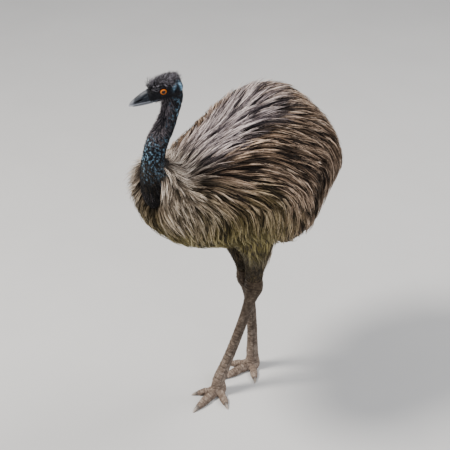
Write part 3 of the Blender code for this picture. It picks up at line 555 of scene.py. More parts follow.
def sculpt_head(skin):
    """Brow, cheeks, lids, ears, gape and wrinkles."""
    places = places_of(skin)
    forward, side, up = to_head(places).T
    z = places[:, 2]
    on_side = smooth(np.abs(side), 0.006, 0.014)
    reach = np.hypot(forward / 1.1, up)
    ear = np.hypot((forward - EAR_AT[0]) / 0.85, up - EAR_AT[1])
    gape = gape_height(forward)
    on_gape = smooth(forward, MOUTH_CORNER - 0.004, MOUTH_CORNER + 0.002) * on_side
    fold = smooth(forward, -0.02, 0.0) * fall(forward, 0.016, 0.024)
    change = carve((
        # Socket, the lids round the eye with the fold over them, and the brow above
        (-0.0026, reach - 0.0165, 0.0042, on_side),
        (0.0022, reach - 0.0112, 0.002, on_side),
        (0.0009, reach - 0.0148, 0.0009, on_side, smooth(up, -0.004, 0.006)),
        (-0.001, reach - 0.0131, 0.0006, on_side),
        (0.0024, np.hypot((forward + 0.001) / 1.9, up - 0.0185), 0.0065, on_side),
        # Hollow lores in front of the eye, and a full cheek behind and below it
        (-0.0018, np.hypot((forward - 0.022) / 1.3, up + 0.006), 0.007, on_side),
        (0.0016, np.hypot((forward + 0.014) / 1.5, up + 0.021), 0.01, on_side),
        # Ear opening with its rim
        (-0.0048, ear, 0.003, on_side),
        (0.0013, ear - 0.0055, 0.0016, on_side),
        # A closed line back from the bill, and the folds under it
        (-0.0022, up - gape, 0.0009, on_gape),
        (0.0008, up - gape + 0.0026, 0.0014, on_gape),
        (-0.0011, up + 0.0265 + 0.35 * (MOUTH_CORNER - forward) * 0.3, 0.001, fold, on_side),
    ))
    # Loose wrinkled skin at the nape and throat, and rings of it round the neck
    face = smooth(z, 1.195, 1.215)
    nape = fall(forward, -0.05, -0.03)
    change += 0.0007 * np.sin(side * 900 + 2 * np.sin(up * 260)) * nape * face
    change *= face
    ring = np.sin(z * 520 + 1.6 * waves(places, 0.05, 3)) * (1 - face)
    change += 0.00045 * ring * smooth(z, 1.0, 1.1)
    change += 0.00035 * waves(places, 0.006, 4) + 0.0006 * waves(places, 0.02, 5)
    displace(skin, change)


def gape_height(forward):
    """Height of the closed mouth's line, which rises a little behind the bill."""
    return MOUTH_HEIGHT + 0.22 * np.maximum(0.037 - forward, 0)


def make_head_skin():
    forms = [skull(), neck_tube("neck", 0.1, 1.0, NECK_SKIN_DEPTH, 90),
             neck_tube("nape", 0.0, 1.0, NECK_SKIN_DEPTH, 40, NAPE_ROWS)]
    skin = merge("head_skin", forms, VOXEL_HEAD, 6)
    # The step where skull and neck meet is eased on its own
    places = places_of(skin)
    joint = bump_at(places[:, 2] - 1.212, 0.014) * fall(to_head(places)[:, 0], 0.0, 0.012)
    group = skin.vertex_groups.new(name="joint")
    for k in np.nonzero(joint > 0.05)[0]:
        group.add([int(k)], float(joint[k]), "REPLACE")
    add_modifier(skin, "SMOOTH", iterations=90, factor=0.8, vertex_group="joint")
    apply_all(skin)
    skin.vertex_groups.clear()
    sculpt_head(skin)
    return skin


def leg_space(places, side):
    """Share up the shank, angle from its front, and distance from its axis."""
    ankle = ankle_at(side, ANKLE_HEIGHT)
    axis = np.array(HOCK[side]) - ankle
    length = np.linalg.norm(axis)
    axis = axis / length
    away = places - ankle
    along = away @ axis
    share = along / length
    back = np.interp(share, [row[0] for row in SHANK_ROWS], [row[3] for row in SHANK_ROWS])
    away = away - along[:, None] * axis - back[:, None] * np.array([0, 1.0, 0])
    front = np.array([0, -1.0, 0]) + axis * axis[1]
    front = front / np.linalg.norm(front)
    aside = np.cross(axis, front)
    return share, np.arctan2(away @ aside, away @ front), np.hypot(away @ aside, away @ front)


def plate_steps(along, pitch, groove):
    """Height of overlapping plates along a line, and how deep in a groove each place lies."""
    phase = np.mod(along / pitch, 1.0)
    edge = np.minimum(phase, 1 - phase) * pitch
    cut = bump_at(edge, groove)
    return 0.75 * (1 - phase) - 1.1 * cut, cut


def scale_shank(change, dark, places, side):
    """Adds the plates, scales and creases between the toes and the hock, and painted shade in their grooves.
    """
    share, angle, _ = leg_space(places, side)
    on_shank = smooth(places[:, 2], 0.05, 0.062) * fall(share, 0.9, 1.0)
    # Wide plates down the front, worn small towards the hock, and the groove on each side of them
    front = fall(np.abs(angle), 0.85, 1.15)
    along = share * SHANK_LENGTH + 0.0018 * np.sin(share * 57)
    tall, cut = plate_steps(along, 0.015 - 0.0035 * smooth(share, 0.3, 0.8), 0.001)
    strength = on_shank * front * (1 - 0.75 * smooth(share, 0.45, 0.75))
    change += 0.0011 * tall * strength
    dark += cut * strength
    border = bump_at(np.abs(angle) - 1.02, 0.07) * on_shank
    change -= 0.0006 * border
    dark += 0.5 * border * (1 - smooth(share, 0.5, 0.8))
    # Small six-sided scales at the sides and back
    cell, edge = scale_cells(np.stack([angle * 0.019, share * SHANK_LENGTH], 1), 0.0062)
    strength = on_shank * (1 - front)
    change += 0.0005 * cell * strength
    dark += 0.55 * edge * strength
    # Folded, knobbly skin over the hock, with a knob on each side
    hock = bump_at(share - 0.985, 0.085)
    rings = np.sin(share * 230 + 2.2 * np.cos(angle * 2 + 1.0))
    change += (0.0013 * rings * smooth(np.cos(angle), -0.6, 0.5) + 0.0012 * waves(places, 0.012, 8)) * hock
    dark += 0.55 * fall(rings, -0.95, -0.45) * hock
    change += 0.0035 * bump_at(np.abs(angle) - 1.45, 0.5) * bump_at(share - 0.985, 0.06)
    # Creases where the toes bend up to the shank
    for height, depth in ((0.046, 1.0), (0.036, 1.4)):
        line = height - 0.006 * np.cos(angle) + 0.0015 * np.sin(angle * 4)
        cut = bump_at(places[:, 2] - line, 0.0011) * smooth(np.cos(angle), -0.2, 0.5)
        change -= 0.0013 * depth * cut
        dark += 0.9 * cut


def scale_toe(change, dark, places, side, toe):
    """Adds the plates over a toe, the scales at its sides and the folds at its joints, and painted shade in
    their grooves.
    """
    length, half_width, height = TOE_SIZES[toe]
    forward, across = toe_axes(side, toe)
    away = places - ankle_at(side)
    along, aside = away @ forward, away @ across
    on_toe = smooth(along, 0.03, 0.04) * fall(np.abs(aside), half_width * 0.95, half_width * 1.15)
    on_top = smooth(away[:, 2], height * 0.42, height * 0.62)
    tall, cut = plate_steps(along + 0.0006 * np.sin(aside * 500), 0.0086, 0.0008)
    change += 0.0009 * tall * on_toe * on_top
    dark += cut * on_toe * on_top
    cell, edge = scale_cells(np.stack([along, away[:, 2] + aside * 0.4], 1), 0.0046)
    low = on_toe * (1 - on_top)
    change += 0.0004 * cell * low
    dark += 0.5 * edge * low
    for joint in (0.48, 0.72):
        cut = bump_at(along - joint * length, 0.0009) * on_toe * (1 - on_top * 0.6)
        change -= 0.001 * cut
        dark += 0.6 * cut


def scale_leg(places, side):
    """Change of height over one leg's plates and creases, and the painted shade in their grooves."""
    change = np.zeros(len(places))
    dark = np.zeros(len(places))
    scale_shank(change, dark, places, side)
    for toe in TOE_SIZES:
        scale_toe(change, dark, places, side, toe)
    return change, np.clip(dark, 0, 1)


# Rows of six-sided cells lie this share of their pitch apart
ROW_STEP = 0.866


def scale_cells(flat, pitch):
    """Raised six-sided cells on a plane: height of the middle, and how near the edge each place is."""
    q = flat / pitch
    best = np.full(len(q), 9.0)
    second = best.copy()
    for step, move in product((-1, 0, 1), repeat=2):
        r = np.round(q[:, 1] / ROW_STEP) + step
        shift = np.mod(r, 2) * 0.5
        c = np.round(q[:, 0] - shift) + move
        wobble_x = 0.22 * np.sin(r * 12.9 + c * 78.2)
        wobble_y = 0.22 * np.sin(r * 39.3 + c * 11.1)
        d = np.hypot(q[:, 0] - c - shift - wobble_x, q[:, 1] - r * ROW_STEP - wobble_y)
        second = np.minimum(second, np.maximum(best, d))
        best = np.minimum(best, d)
    edge = bump_at(second - best, 0.16)
    return 1 - edge * 1.4 - best * 0.6, edge


def make_leg_skin(side):
    forms = [tube("shank", rows_at(shank_rows(side), np.linspace(0, 1, 90)))]
    rings = []
    for share, half_width, half_depth in rows_at(PAD_ROWS, np.linspace(0, 1, 24)):
        across, tall = oval(40, half_width, half_depth, half_depth)
        x, y = ANKLE[side]
        rings.append(ring_of(x + across, y + tall, (ANKLE_HEIGHT + 0.004) * (1 - share)))
    forms.append(loft("pad", rings))
    forms += [loft("toe", toe_rings(side, toe)) for toe in TOE_SIZES]
    skin = merge("leg_skin", forms, VOXEL_LEG, 5)
    places = places_of(skin)
    displace(skin, scale_leg(places, side)[0] + 0.0005 * waves(places, 0.01, 6), SOLE_HEIGHT)
    return skin


def leg_groove_shade(places):
    """Painted shade in the grooves of both legs, each place taken from the leg it belongs to."""
    dark = np.zeros(len(places))
    x, _, z = places.T
    for side, other in zip(LEFT_RIGHT, reversed(LEFT_RIGHT)):
        near = np.abs(x - np.interp(z, [0, 0.45], [ANKLE[side][0], HOCK[side][0]])) < 0.12
        nearer = leg_space(places, side)[2] < leg_space(places, other)[2]
        low = (z < 0.46) & near & nearer
        dark[low] = scale_leg(places[low], side)[1]
    return dark


def make_skin():
    skin = make_body_skin()
    combine(skin, make_head_skin())
    for side in LEFT_RIGHT:
        combine(skin, make_leg_skin(side))
    for sign in (1, -1):
        combine(skin, eye_ball("socket", sign, 0.0004, 40), "DIFFERENCE")
    shade_smooth(skin)
    places = places_of(skin)
    z = places[:, 2]
    set_value(skin, "GrooveShade", leg_groove_shade(places))
    set_value(skin, "Blue", blue_skin(places))
    set_value(skin, "Leg", fall(z, 0.425, 0.455))
    set_value(skin, "Bare", smooth(z, 1.0, 1.06))
    forward, side, up = to_head(places).T
    rim = bump_at(up - gape_height(forward) + 0.0024, 0.0016) * smooth(forward, 0.014, 0.024)
    set_value(skin, "Horn", np.where(z > 1.15, 0.9 * rim, 0))
    return skin


def cloud(places, size):
    """Irregular noise without a repeat, only worked out on the neck."""
    found = np.full(len(places), -1.0)
    for k in np.nonzero((places[:, 2] > 0.94) & (places[:, 2] < 1.24))[0]:
        at = Vector(places[k] / size)
        found[k] = noise.noise(at) + 0.5 * noise.noise(at * 2.1)
    return found


def blue_skin(places):
    """Where the bare skin is blue: behind the crown, down the nape and on the sides of the neck."""
    forward, side, up = to_head(places).T
    head = smooth(places[:, 2], 1.185, 1.2)
    mottle = smooth(waves(places, 0.011, 23), -0.75, 0.1)
    lean = forward + 0.037 + 0.45 * (up - 0.009)
    patch = bump_at(np.hypot(lean / 0.0052, (up - 0.008) / 0.0115), 1.0) * smooth(np.abs(side), 0.01, 0.016)
    rear = np.interp(up, (-0.03, -0.005, 0.011, 0.02), (-0.054, -0.053, -0.0505, -0.0455))
    rim = bump_at(forward - rear, 0.0042) * smooth(up, -0.028, -0.016) * fall(up, 0.018, 0.024)
    rim = rim * (0.12 + 0.88 * smooth(np.abs(side), 0.005, 0.011))
    blue = np.maximum(1.35 * patch, 1.25 * rim) * head * (0.55 + 0.45 * mottle)
    z = places[:, 2]
    rear = smooth(to_neck(places)[0], 0.3, 1.2)
    blotch = smooth(cloud(places, 0.009), -0.1, 0.5)
    nape = rear * smooth(z, 1.12, 1.15) * fall(z, 1.205, 1.235) * blotch
    blue = np.maximum(blue, 0.6 * nape)
    low = (0.55 * smooth(z, 0.95, 0.99) + 0.45 * smooth(z, 1.0, 1.06)) * fall(z, 1.09, 1.125)
    speckle = smooth(cloud(places, 0.007), -0.1, 0.34) * fall(to_neck(places)[0], 1.2, 2.4)
    blue = np.maximum(blue, 0.85 * low * speckle)
    return np.clip(blue, 0, 1)


def to_neck(places):
    """Angle round the neck, 0 in front and pi behind, and distance from its middle."""
    rows = np.asarray(NECK_ROWS)[2:]
    x = places[:, 0] - np.interp(places[:, 2], rows[:, 2], rows[:, 0])
    y = places[:, 1] - np.interp(places[:, 2], rows[:, 2], rows[:, 1])
    return np.abs(np.arctan2(x, -y)), np.hypot(x, y)


# Eyes, bill and claws

def eye_ball(name, sign, grow, detail=64):
    """An eyeball, or with some growth its socket, at one side of the head."""
    mesh = bmesh.new()
    bmesh.ops.create_uvsphere(mesh, u_segments=detail, v_segments=detail // 2, radius=EYE_RADIUS + grow)
    if not grow:
        # The clear front stands a little proud
        for vertex in mesh.verts:
            off_axis = math.acos(max(min(vertex.co.z / vertex.co.length, 1), -1))
            vertex.co *= 1 + 0.045 * float(bump_at(off_axis, 0.55))
    bmesh.ops.transform(mesh, matrix=Matrix.Rotation(math.radians(90 * sign), 4, "Y"), verts=mesh.verts)
    places = np.array([vertex.co[:] for vertex in mesh.verts])
    world = from_head(np.stack([-places[:, 1], places[:, 0] + EYE_SIDE * sign, places[:, 2]], 1))
    for vertex, place in zip(mesh.verts, world):
        vertex.co = place
    bmesh.ops.recalc_face_normals(mesh, faces=mesh.faces)
    # Blender lists a sphere's faces in another order each time, so they are sorted
    mesh.verts.index_update()
    faces = [[vertex.index for vertex in face.verts] for face in mesh.faces]
    faces = sorted(face[face.index(min(face)):] + face[:face.index(min(face))] for face in faces)
    mesh.free()
    return new_object(name, world, faces)


def make_eye(name, sign):
    made = eye_ball(name, sign, 0.0)
    local = to_head(places_of(made))
    away = np.hypot(local[:, 0], local[:, 2] * IRIS_SQUASH)
    set_value(made, "Away", away / EYE_RADIUS)
    set_value(made, "Turn", np.arctan2(local[:, 2], local[:, 0]))
    shade_smooth(made)
    return made


def bill_half(name, rows, upper):
    """Upper or lower half of the bill, before its details are carved."""
    angle = np.linspace(0, np.pi, 49)
    rings = []
    for forward, edge, half_width in rows_at(rows, np.linspace(0, 1, 110) ** 0.9):
        tall = np.abs(np.sin(angle)) ** 0.8 * (edge - MOUTH_HEIGHT)
        local = ring_of(forward + 0.0003, np.cos(angle) * half_width, MOUTH_HEIGHT + tall)
        local[:, 2] += BILL_PARTING if upper else -BILL_PARTING
        rings.append(from_head(local))
    return loft(name, rings)


def culmen_height(forward):
    """Height of the bill's ridge."""
    return rows_at(CULMEN_ROWS, (forward - 0.037) / 0.068)[:, 1]


def nostril_reach(forward, up):
    """Distance from the middle of the long nostril slot, with its length drawn in."""
    slope = NOSTRIL_AT[1] + NOSTRIL_SLOPE * (forward - NOSTRIL_AT[0])
    return np.hypot((forward - NOSTRIL_AT[0]) / NOSTRIL_LONG, up - slope)


def carve_bill(made, upper):
    """Ridge, grooves, cutting edge and nostrils of one half of the bill."""
    places = places_of(made)
    forward, side, up = to_head(places).T
    apart = np.abs(side)
    over = up - MOUTH_HEIGHT
    off_middle = smooth(apart, 0.001, 0.004)
    if upper:
        nostril = nostril_reach(forward, up)
        # The groove between ridge and side runs from the feathers to past the nostril
        groove = up - (culmen_height(forward) - 0.0075 - 0.04 * (forward - 0.037))
        change = carve((
            (-0.0034, nostril, 0.0024),
            (0.0006, nostril - 0.004, 0.0011),
            (-0.0015, groove, 0.0015, fall(forward, 0.07, 0.088)),
            (0.0005, groove - 0.003, 0.0018, fall(forward, 0.08, 0.095)),
            (0.001, over - 0.0012, 0.0012, off_middle),
            (0.001, apart, 0.0028, smooth(over, 0.004, 0.01)),
        )) + 0.0006 * smooth(forward, 0.09, 0.099)
    else:
        change = carve(((-0.0009, over, 0.0014, off_middle), (0.0005, over + 0.0032, 0.0012)))
    change += 0.00012 * waves(places, 0.004, 12)
    # The flat inner face stays flat
    change[np.abs(over) < 0.0004] = 0
    displace(made, change)
    shade_smooth(made)
    made.data.set_sharp_from_angle(angle=math.radians(60))


def paint_bill(made, upper):
    """Pale tip, edges and under side, a faint painted highlight on the ridge, and painted shade in the
    hollows of the nostril and the parting.
    """
    forward, _, up = to_head(places_of(made)).T
    # Painted shade along the parting between the halves, and below in the nostril slot
    hollow_shade = bump_at(up - MOUTH_HEIGHT, 0.0007)
    light = np.full(len(up), 0.8)
    if upper:
        hollow_shade = np.maximum(bump_at(nostril_reach(forward, up), 0.0023), hollow_shade)
        # The ridge's faint light is a painted highlight; the pale tip and edge are the bill's own colour
        ridge = smooth(up - culmen_height(forward), -0.0042, -0.001) * smooth(forward, 0.042, 0.048)
        ridge = ridge * (1 - 0.65 * smooth(forward, 0.062, 0.07))
        tip = smooth(forward + 0.5 * (up - MOUTH_HEIGHT), 0.09, 0.1)
        edge = smooth(MOUTH_HEIGHT + 0.0062 - up, 0.0, 0.0018)
        light = np.maximum(np.maximum(0.16 * ridge, 0.55 * tip), 0.9 * edge)
    set_value(made, "Light", light)
    set_value(made, "Hollow", smooth(hollow_shade, 0.25, 0.7))


def make_claw(side, toe):
    length, half_width, height = TOE_SIZES[toe]
    forward, across = toe_axes(side, toe)
    base = ankle_at(side) + forward * (length + 0.0003)
    rings = []
    for share, wide, tall in rows_at(CLAW_PROFILE, np.linspace(0, 1, 30)):
        at = base + forward * CLAW_LENGTHS[toe] * share + np.array([0, 0, 0.0006])
        ring = toe_ring(at, across, half_width * wide, height * tall, 24)
        # A rounded ridge along the top
        ring[2:, 2] += 0.0008 * np.sin(np.pi * np.arange(25) / 24) ** 6 * (1 - share)
        rings.append(ring)
    made = loft(f"nail_{toe}_{side}", rings)
    places = places_of(made)
    along = (places - base) @ forward
    displace(made, 0.00012 * np.sin(along * 2600) + 0.0002 * waves(places, 0.006, 15), SOLE_HEIGHT)
    set_value(made, "Tip", along / CLAW_LENGTHS[toe])
    shade_smooth(made)
    made.data.set_sharp_from_angle(angle=math.radians(55))
    return made


# Plumage

NEIGHBOURS = tuple(product((-1, 0, 1), repeat=3))
# Tries for each wanted place, share of the wanted gap that is kept, and how much longer it is along the axes
TRIES = 4
KEPT_GAP = 0.74
ALONG_AXES = 1.4
# Gaps more than this many times the spacing leave a surface bare
SPARSEST = 20
# Most triangles of one piece, and the size of a strand's patch in the bake's map
PIECE_TRIANGLES = 190000
PATCH_SIZE = 0.003
# Distances between tufts
BODY_SPACING, LEG_SPACING, NECK_SPACING, CROWN_SPACING, FACE_SPACING = (
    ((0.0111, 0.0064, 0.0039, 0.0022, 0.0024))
)
# Sizes of a tuft and its strands: half width of the tuft, width of a strand, how deep it starts, how far the
# strands rise on their own, fray, wave and lie over each other, the shortest share of the length, rings and
# strands of a tuft, and steps of its combed line
Look = namedtuple("Look", "half_width width depth own_rise fray wave stack short rings many steps")
BODY_LOOK = Look(0.0046, 0.0029, 0.024, (-0.0025, 0.003), 0.0024, 0.0013, 0.0026, 0.7, 4, 5, 6)
NECK_LOOK = Look(0.0015, 0.00066, 0.0006, (-0.0006, 0.0012), 0.001, 0.0005, 0.0003, 0.6, 3, 4, 3)
CROWN_LOOK = Look(0.0012, 0.00072, 0.0005, (-0.001, 0.003), 0.0016, 0.0011, 0.0004, 0.55, 5, 3, 4)
FACE_LOOK = Look(0.0007, 0.00042, 0.0003, (0, 0.0004), 0.0005, 0.0001, 0.0001, 0.6, 3, 2, 2)
LEG_LOOK = Look(0.003, 0.0021, 0.001, (-0.001, 0.0015), 0.0016, 0.0007, 0.0008, 0.65, 3, 3, 4)


def thin_out(spots, gap):
    """Numbers of the spots that keep their gap from every spot kept before them."""
    cell = float(np.median(gap))
    taken = {}
    kept = []
    for k, spot in enumerate(spots):
        x, y, z = (int(v) for v in spot // cell)
        room = gap[k] * KEPT_GAP * ALONG_AXES
        near = (other for i, j, m in NEIGHBOURS for other in taken.get((x + i, y + j, z + m), ()))
        if all(abs(spot[0] - a) + abs(spot[1] - b) + abs(spot[2] - c) >= room for a, b, c in near):
            taken.setdefault((x, y, z), []).append(spot)
            kept.append(k)
    return np.array(kept)


def scatter(made, spacing, draw, density):
    """Evenly spread places over a surface, as close as the density there says, with their normals."""
    data = made.data
    data.calc_loop_triangles()
    corners = np.empty(len(data.loop_triangles) * 3, np.int32)
    data.loop_triangles.foreach_get("vertices", corners)
    tri = places_of(made)[corners.reshape(-1, 3)]
    cross = np.cross(tri[:, 1] - tri[:, 0], tri[:, 2] - tri[:, 0])
    gap = spacing / np.sqrt(np.maximum(density(tri.mean(1)), 1e-4))
    weight = np.where(gap < spacing * SPARSEST, np.linalg.norm(cross, axis=1) / 2 / gap ** 2, 0)
    total = weight.sum()
    tries = int(total * TRIES)
    pick = draw.choice(len(tri), tries, p=weight / total)
    a, b = draw.random(tries), draw.random(tries)
    over = a + b > 1
    a[over], b[over] = 1 - a[over], 1 - b[over]
    base = tri[pick]
    spots = base[:, 0] + (base[:, 1] - base[:, 0]) * a[:, None] + (base[:, 2] - base[:, 0]) * b[:, None]
    kept = thin_out(spots, gap[pick])
    return spots[kept], unit(cross[pick[kept]])


def comb(tree, roots, lie, lengths, steps, hang):
    """Lines that start at the roots and follow the surface along the lie, with the surface's normals.
    Where hang says so, a line leaves the surface by a share and falls."""
    lines = np.empty((len(roots), steps + 1, 3))
    normals = np.empty_like(lines)
    for k, root in enumerate(roots):
        place, normal, _, _ = tree.find_nearest(Vector(root))
        step = lengths[k] / steps
        free = None
        for s in range(steps + 1):
            lines[k, s] = place if free is None else free
            normals[k, s] = normal
            if s == steps:
                break
            direction = lie(place, normal, k)
            direction = direction - normal * direction.dot(normal)
            direction.normalize()
            here = place
            place, normal, _, _ = tree.find_nearest(place + direction * step)
            share = hang(here, normal) * (s + 1) / steps if hang else 0
            if share > 0 or free is not None:
                fall_by = (direction * (1 - share) + Vector((0, 0, -1)) * share).normalized() * step
                free = (Vector(lines[k, s]) + fall_by).lerp(place, 1 - share)
    return lines, normals


def resample(lines, count):
    """Each line at evenly spread shares."""
    steps = lines.shape[1] - 1
    t = np.linspace(0, steps, count)
    i = np.minimum(t.astype(int), steps - 1)
    f = (t - i)[None, :, None]
    return lines[:, i] * (1 - f) + lines[:, i + 1] * f


def strands_of(lines, normals, draw, look, rise, sweep):
    """Splits each guide line into a tuft of strands. Rise says how high a tip ends, sweep how late it rises.
    Returns points, normals, widths, tuft numbers and places across the tuft."""
    tufts, many, count = len(lines), look.many, look.rings + 1
    base = resample(lines, count)
    up = unit(resample(normals, count))
    side = unit(np.cross(unit(np.gradient(base, axis=1)), up))
    share = np.linspace(0, 1, count)[None, None, :]
    a = draw.uniform(-1, 1, (tufts, many, 1))
    b = draw.uniform(0, 1, (tufts, many, 1))
    reach = draw.uniform(look.short, 1.0, (tufts, many, 1))
    size = look.half_width * draw.uniform(0.75, 1.25, (tufts, 1, 1))
    spread = 0.55 + 1.05 * share * (1 - share) * 2 - 0.3 * share
    fray = look.fray * draw.normal(size=(tufts, many, 1)) * share ** 2
    phase = draw.uniform(0, 2 * np.pi, (tufts, many, 1))
    ripple = look.wave * np.sin(share * draw.uniform(5, 11, (tufts, many, 1)) + phase) * share
    aside = (a * size * spread + fray + ripple)[..., None]
    rise = np.reshape(rise, (-1, 1, 1)) + draw.uniform(*look.own_rise, (tufts, many, 1))
    lift = -look.depth * (1 - share) ** np.reshape(sweep, (-1, 1, 1)) + rise * share
    lift = (lift + look.stack * (b - 0.5) * 2 * np.minimum(share * 3, 1))[..., None]
    points = base[:, None] + side[:, None] * aside + up[:, None] * lift
    # Shorter strands end sooner along the same course
    start = points[:, :, :1]
    steps = np.diff(points, axis=2) * reach[..., None]
    points = np.concatenate([start, start + np.cumsum(steps, axis=2)], axis=2)
    shape = (tufts * many, count, 3)
    width = look.width * draw.uniform(0.7, 1.3, tufts * many)
    ups = np.broadcast_to(up[:, None], points.shape).reshape(shape)
    return points.reshape(shape), ups, width, np.repeat(np.arange(tufts), many), a.reshape(-1)


def grow(draw, tree, look, roots, lengths, bend, toward, rise, sweep=1.0, hang=None, trim=None):
    """Tufts that start at the roots and lie where toward says, each turned by its own bend."""
    def lie(place, normal, k):
        direction = Vector(toward(place, normal))
        direction.rotate(Matrix.Rotation(float(bend[k]), 3, normal))
        return direction

    lines, normals = comb(tree, roots, lie, lengths, look.steps, hang)
    return strands_of(trim(lines) if trim else lines, normals, draw, look, rise, sweep)


def strand_faces(rings, count):
    """Corners of the quads and triangles of many closed three-sided strands, one after another."""
    tip = rings * 3
    quads = []
    for low in range(0, tip - 3, 3):
        for i in range(3):
            j = (i + 1) % 3
            quads.append((low + i, low + j, low + 3 + j, low + 3 + i))
    tris = [(tip - 3, tip - 2, tip), (tip - 2, tip - 1, tip), (tip - 1, tip - 3, tip), (2, 1, 0)]
    offsets = (np.arange(count) * (tip + 1))[:, None, None]
    return (np.array(quads)[None] + offsets).reshape(-1, 4), (np.array(tris)[None] + offsets).reshape(-1, 3)


def strand_mesh(name, region, points, ups, width, values):
    """Closed tapering strands in one mesh, with values at the points and the bake's map."""
    count, rings = points.shape[0], points.shape[1] - 1
    share = np.arange(rings) / rings
    taper = (0.75 + 0.9 * share * (1 - share)) * (1 - 0.55 * share ** 2)
    along = unit(np.gradient(points, axis=1))
    side = unit(np.cross(along, ups))
    over = unit(np.cross(side, along))
    half = (width[:, None] * 0.5 * taper[None])[..., None]
    ring = points[:, :-1]
    corners = [ring + side[:, :-1] * half, ring + over[:, :-1] * half * 0.7, ring - side[:, :-1] * half]
    body = np.stack(corners, 2).reshape(count, rings * 3, 3)
    verts = np.concatenate([body, points[:, -1:]], 1)
    per = rings * 3 + 1
    quads, tris = strand_faces(rings, count)
    loops = np.concatenate([quads.ravel(), tris.ravel()]).astype(np.int32)
    starts = np.concatenate([np.arange(len(quads)) * 4, len(quads) * 4 + np.arange(len(tris)) * 3])
    data = bpy.data.meshes.new(name)
    data.vertices.add(count * per)
    data.vertices.foreach_set("co", verts.astype(np.float32).ravel())
    data.loops.add(len(loops))
    data.loops.foreach_set("vertex_index", loops)
    data.polygons.add(len(starts))
    data.polygons.foreach_set("loop_start", starts.astype(np.int32))
    data.update(calc_edges=True)
    data.validate()
    made = add_object(name, data)
    shade_smooth(made)
    for key, value in values.items():
        set_value(made, key, np.repeat(value, per))
    line = np.concatenate([np.repeat(share, 3), [1.0]])
    set_value(made, "Along", np.tile(line, count))
    cross = np.concatenate([np.tile([0.0, 0.5, 1.0], rings), [0.5]])
    patch = unwrap(points[:, 0], region)
    u = patch[:, :1] + PATCH_SIZE * (cross[None] - 0.5)
    v = patch[:, 1:] + PATCH_SIZE * (line[None] - 0.5)
    flat = np.stack([u, v], 2).reshape(-1, 2)[loops]
    layer = data.uv_layers.new(name="OFBake")
    layer.data.foreach_set("uv", np.clip(flat, 0.001, 0.999).astype(np.float32).ravel())
    return made


def coat_pieces(name, region, order_by, points, ups, width, values):
    """Strands in several pieces along one line, none of them over the limit on triangles."""
    order = np.argsort(order_by, kind="stable")
    each = 6 * (points.shape[1] - 1) - 2
    pieces = []
    for k, chunk in enumerate(np.array_split(order, math.ceil(len(order) * each / PIECE_TRIANGLES))):
        part = {key: value[chunk] for key, value in values.items()}
        pieces.append(strand_mesh(f"{name}_{k + 1}", region, points[chunk], ups[chunk], width[chunk], part))
    return pieces


def unwrap(places, region):
    """Place of a root on a flat unwrap of the skin's own shape, each region in its own space."""
    x, y, z = places.T
    if region == "body":
        return np.stack([0.01 + 0.58 * turn_of(x, z - 0.86), 0.01 + 0.98 * (y + 0.42) / 0.84], 1)
    if region == "neck":
        return np.stack([0.6 + 0.13 * turn_of(x, y + 0.325), 0.01 + 0.98 * (z - 0.84) / 0.4], 1)
    if region == "head":
        forward, side, up = to_head(places).T
        turn = turn_of(side, up + 0.008)
        return np.stack([0.75 + 0.24 * turn, 0.55 + 0.44 * (forward + 0.075) / 0.13], 1)
    left = 0.75 if region == "L" else 0.87
    middle = rows_at(DRUMSTICK_ROWS[region], (z - 0.436) / 0.31)
    turn = turn_of(x - middle[:, 0], y - middle[:, 1])
    return np.stack([left + 0.115 * turn, 0.01 + 0.52 * (z - 0.38) / 0.4], 1)


def turn_of(across, up):
    """Share of a turn round an axis."""
    return np.arctan2(across, up) / (2 * np.pi) + 0.5


def plumage_guide():
    """Closed surface out at the tips of the plumage."""
    forms = [loft("body", body_rings(0)), loft("collar", collar_rings(0))]
    forms.append(limb("tail", TAIL_ROWS, 0.0, 0.88))
    forms += [limb("drumstick", DRUMSTICK_ROWS[side], 0.0) for side in LEFT_RIGHT]
    return merge("guide", forms, 0.008, 4)


# How far the surface faces up, and the plumage's lie there: degrees from straight back towards down
LIE_TURNS = (
    (-1.00, 10.0),
    (-0.70, 45.0),
    (-0.30, 80.0),
    (0.00, 72.0),
    (0.25, 58.0),
    (0.50, 46.0),
    (0.70, 36.0),
    (0.90, 18.0),
    (1.00, 6.0),
)
FACING, TURNS = zip(*LIE_TURNS)


def body_lie(place, normal):
    """Lie of the plumage: back along the spine, then in arcs down the flanks."""
    side = 1.0 if place.x > 0 else -1.0
    turn = float(np.interp(normal.z, FACING, TURNS))
    turn += 24.0 * float(fall(place.y, -0.24, -0.08) * fall(abs(normal.z - 0.45), 0.2, 0.45))
    # Along the spine the feathers point straight back, over a band that narrows towards the rear
    band = float(np.interp(place.y, (-0.2, 0.1, 0.26), (0.15, 0.11, 0.05)))
    if normal.z > 0:
        turn *= 0.08 + 0.92 * float(smooth(abs(place.x), 0.15 * band, band))
    back = (Vector((0, 1, 0)) - normal * normal.y).normalized()
    down = back.cross(normal) * side
    turn = math.radians(turn)
    lie = back * math.cos(turn) + down * math.sin(turn)
    breast = Vector((0.3 * side, 0.05, -0.95))
    lie = lie.lerp(breast, float(fall(place.y, -0.33, -0.24)))
    tail = Vector((place.x * 0.8, 0.08, -1.0))
    edge = float(groove_line(place.z)) + 0.12 * float(smooth(normal.z, 0.3, 0.8))
    return lie.lerp(tail, float(smooth(place.y, edge, edge + 0.06)))


def body_density(places):
    """Denser on the ruff, and none over the dark column of the neck."""
    x, y, z = places.T
    half = np.interp(z, (0.88, 0.93, 0.98), (0.016, 0.04, 0.054))
    column = smooth(half - np.abs(x - 0.007), 0.0, 0.01) * fall(y, -0.345, -0.33) * smooth(z, 0.885, 0.905)
    clear = np.interp(y, (-0.35, -0.325), (0.06, 0.043))
    inside_neck = smooth(clear - np.hypot(x, y + 0.338), 0.0, 0.006) * smooth(z, 0.93, 0.95)
    finer = 1 + 1.1 * fall(y, -0.31, -0.25) * smooth(z, 0.84, 0.92)
    return smooth(z, 0.6, 0.62) * (1 - column) * (1 - inside_neck) * finer


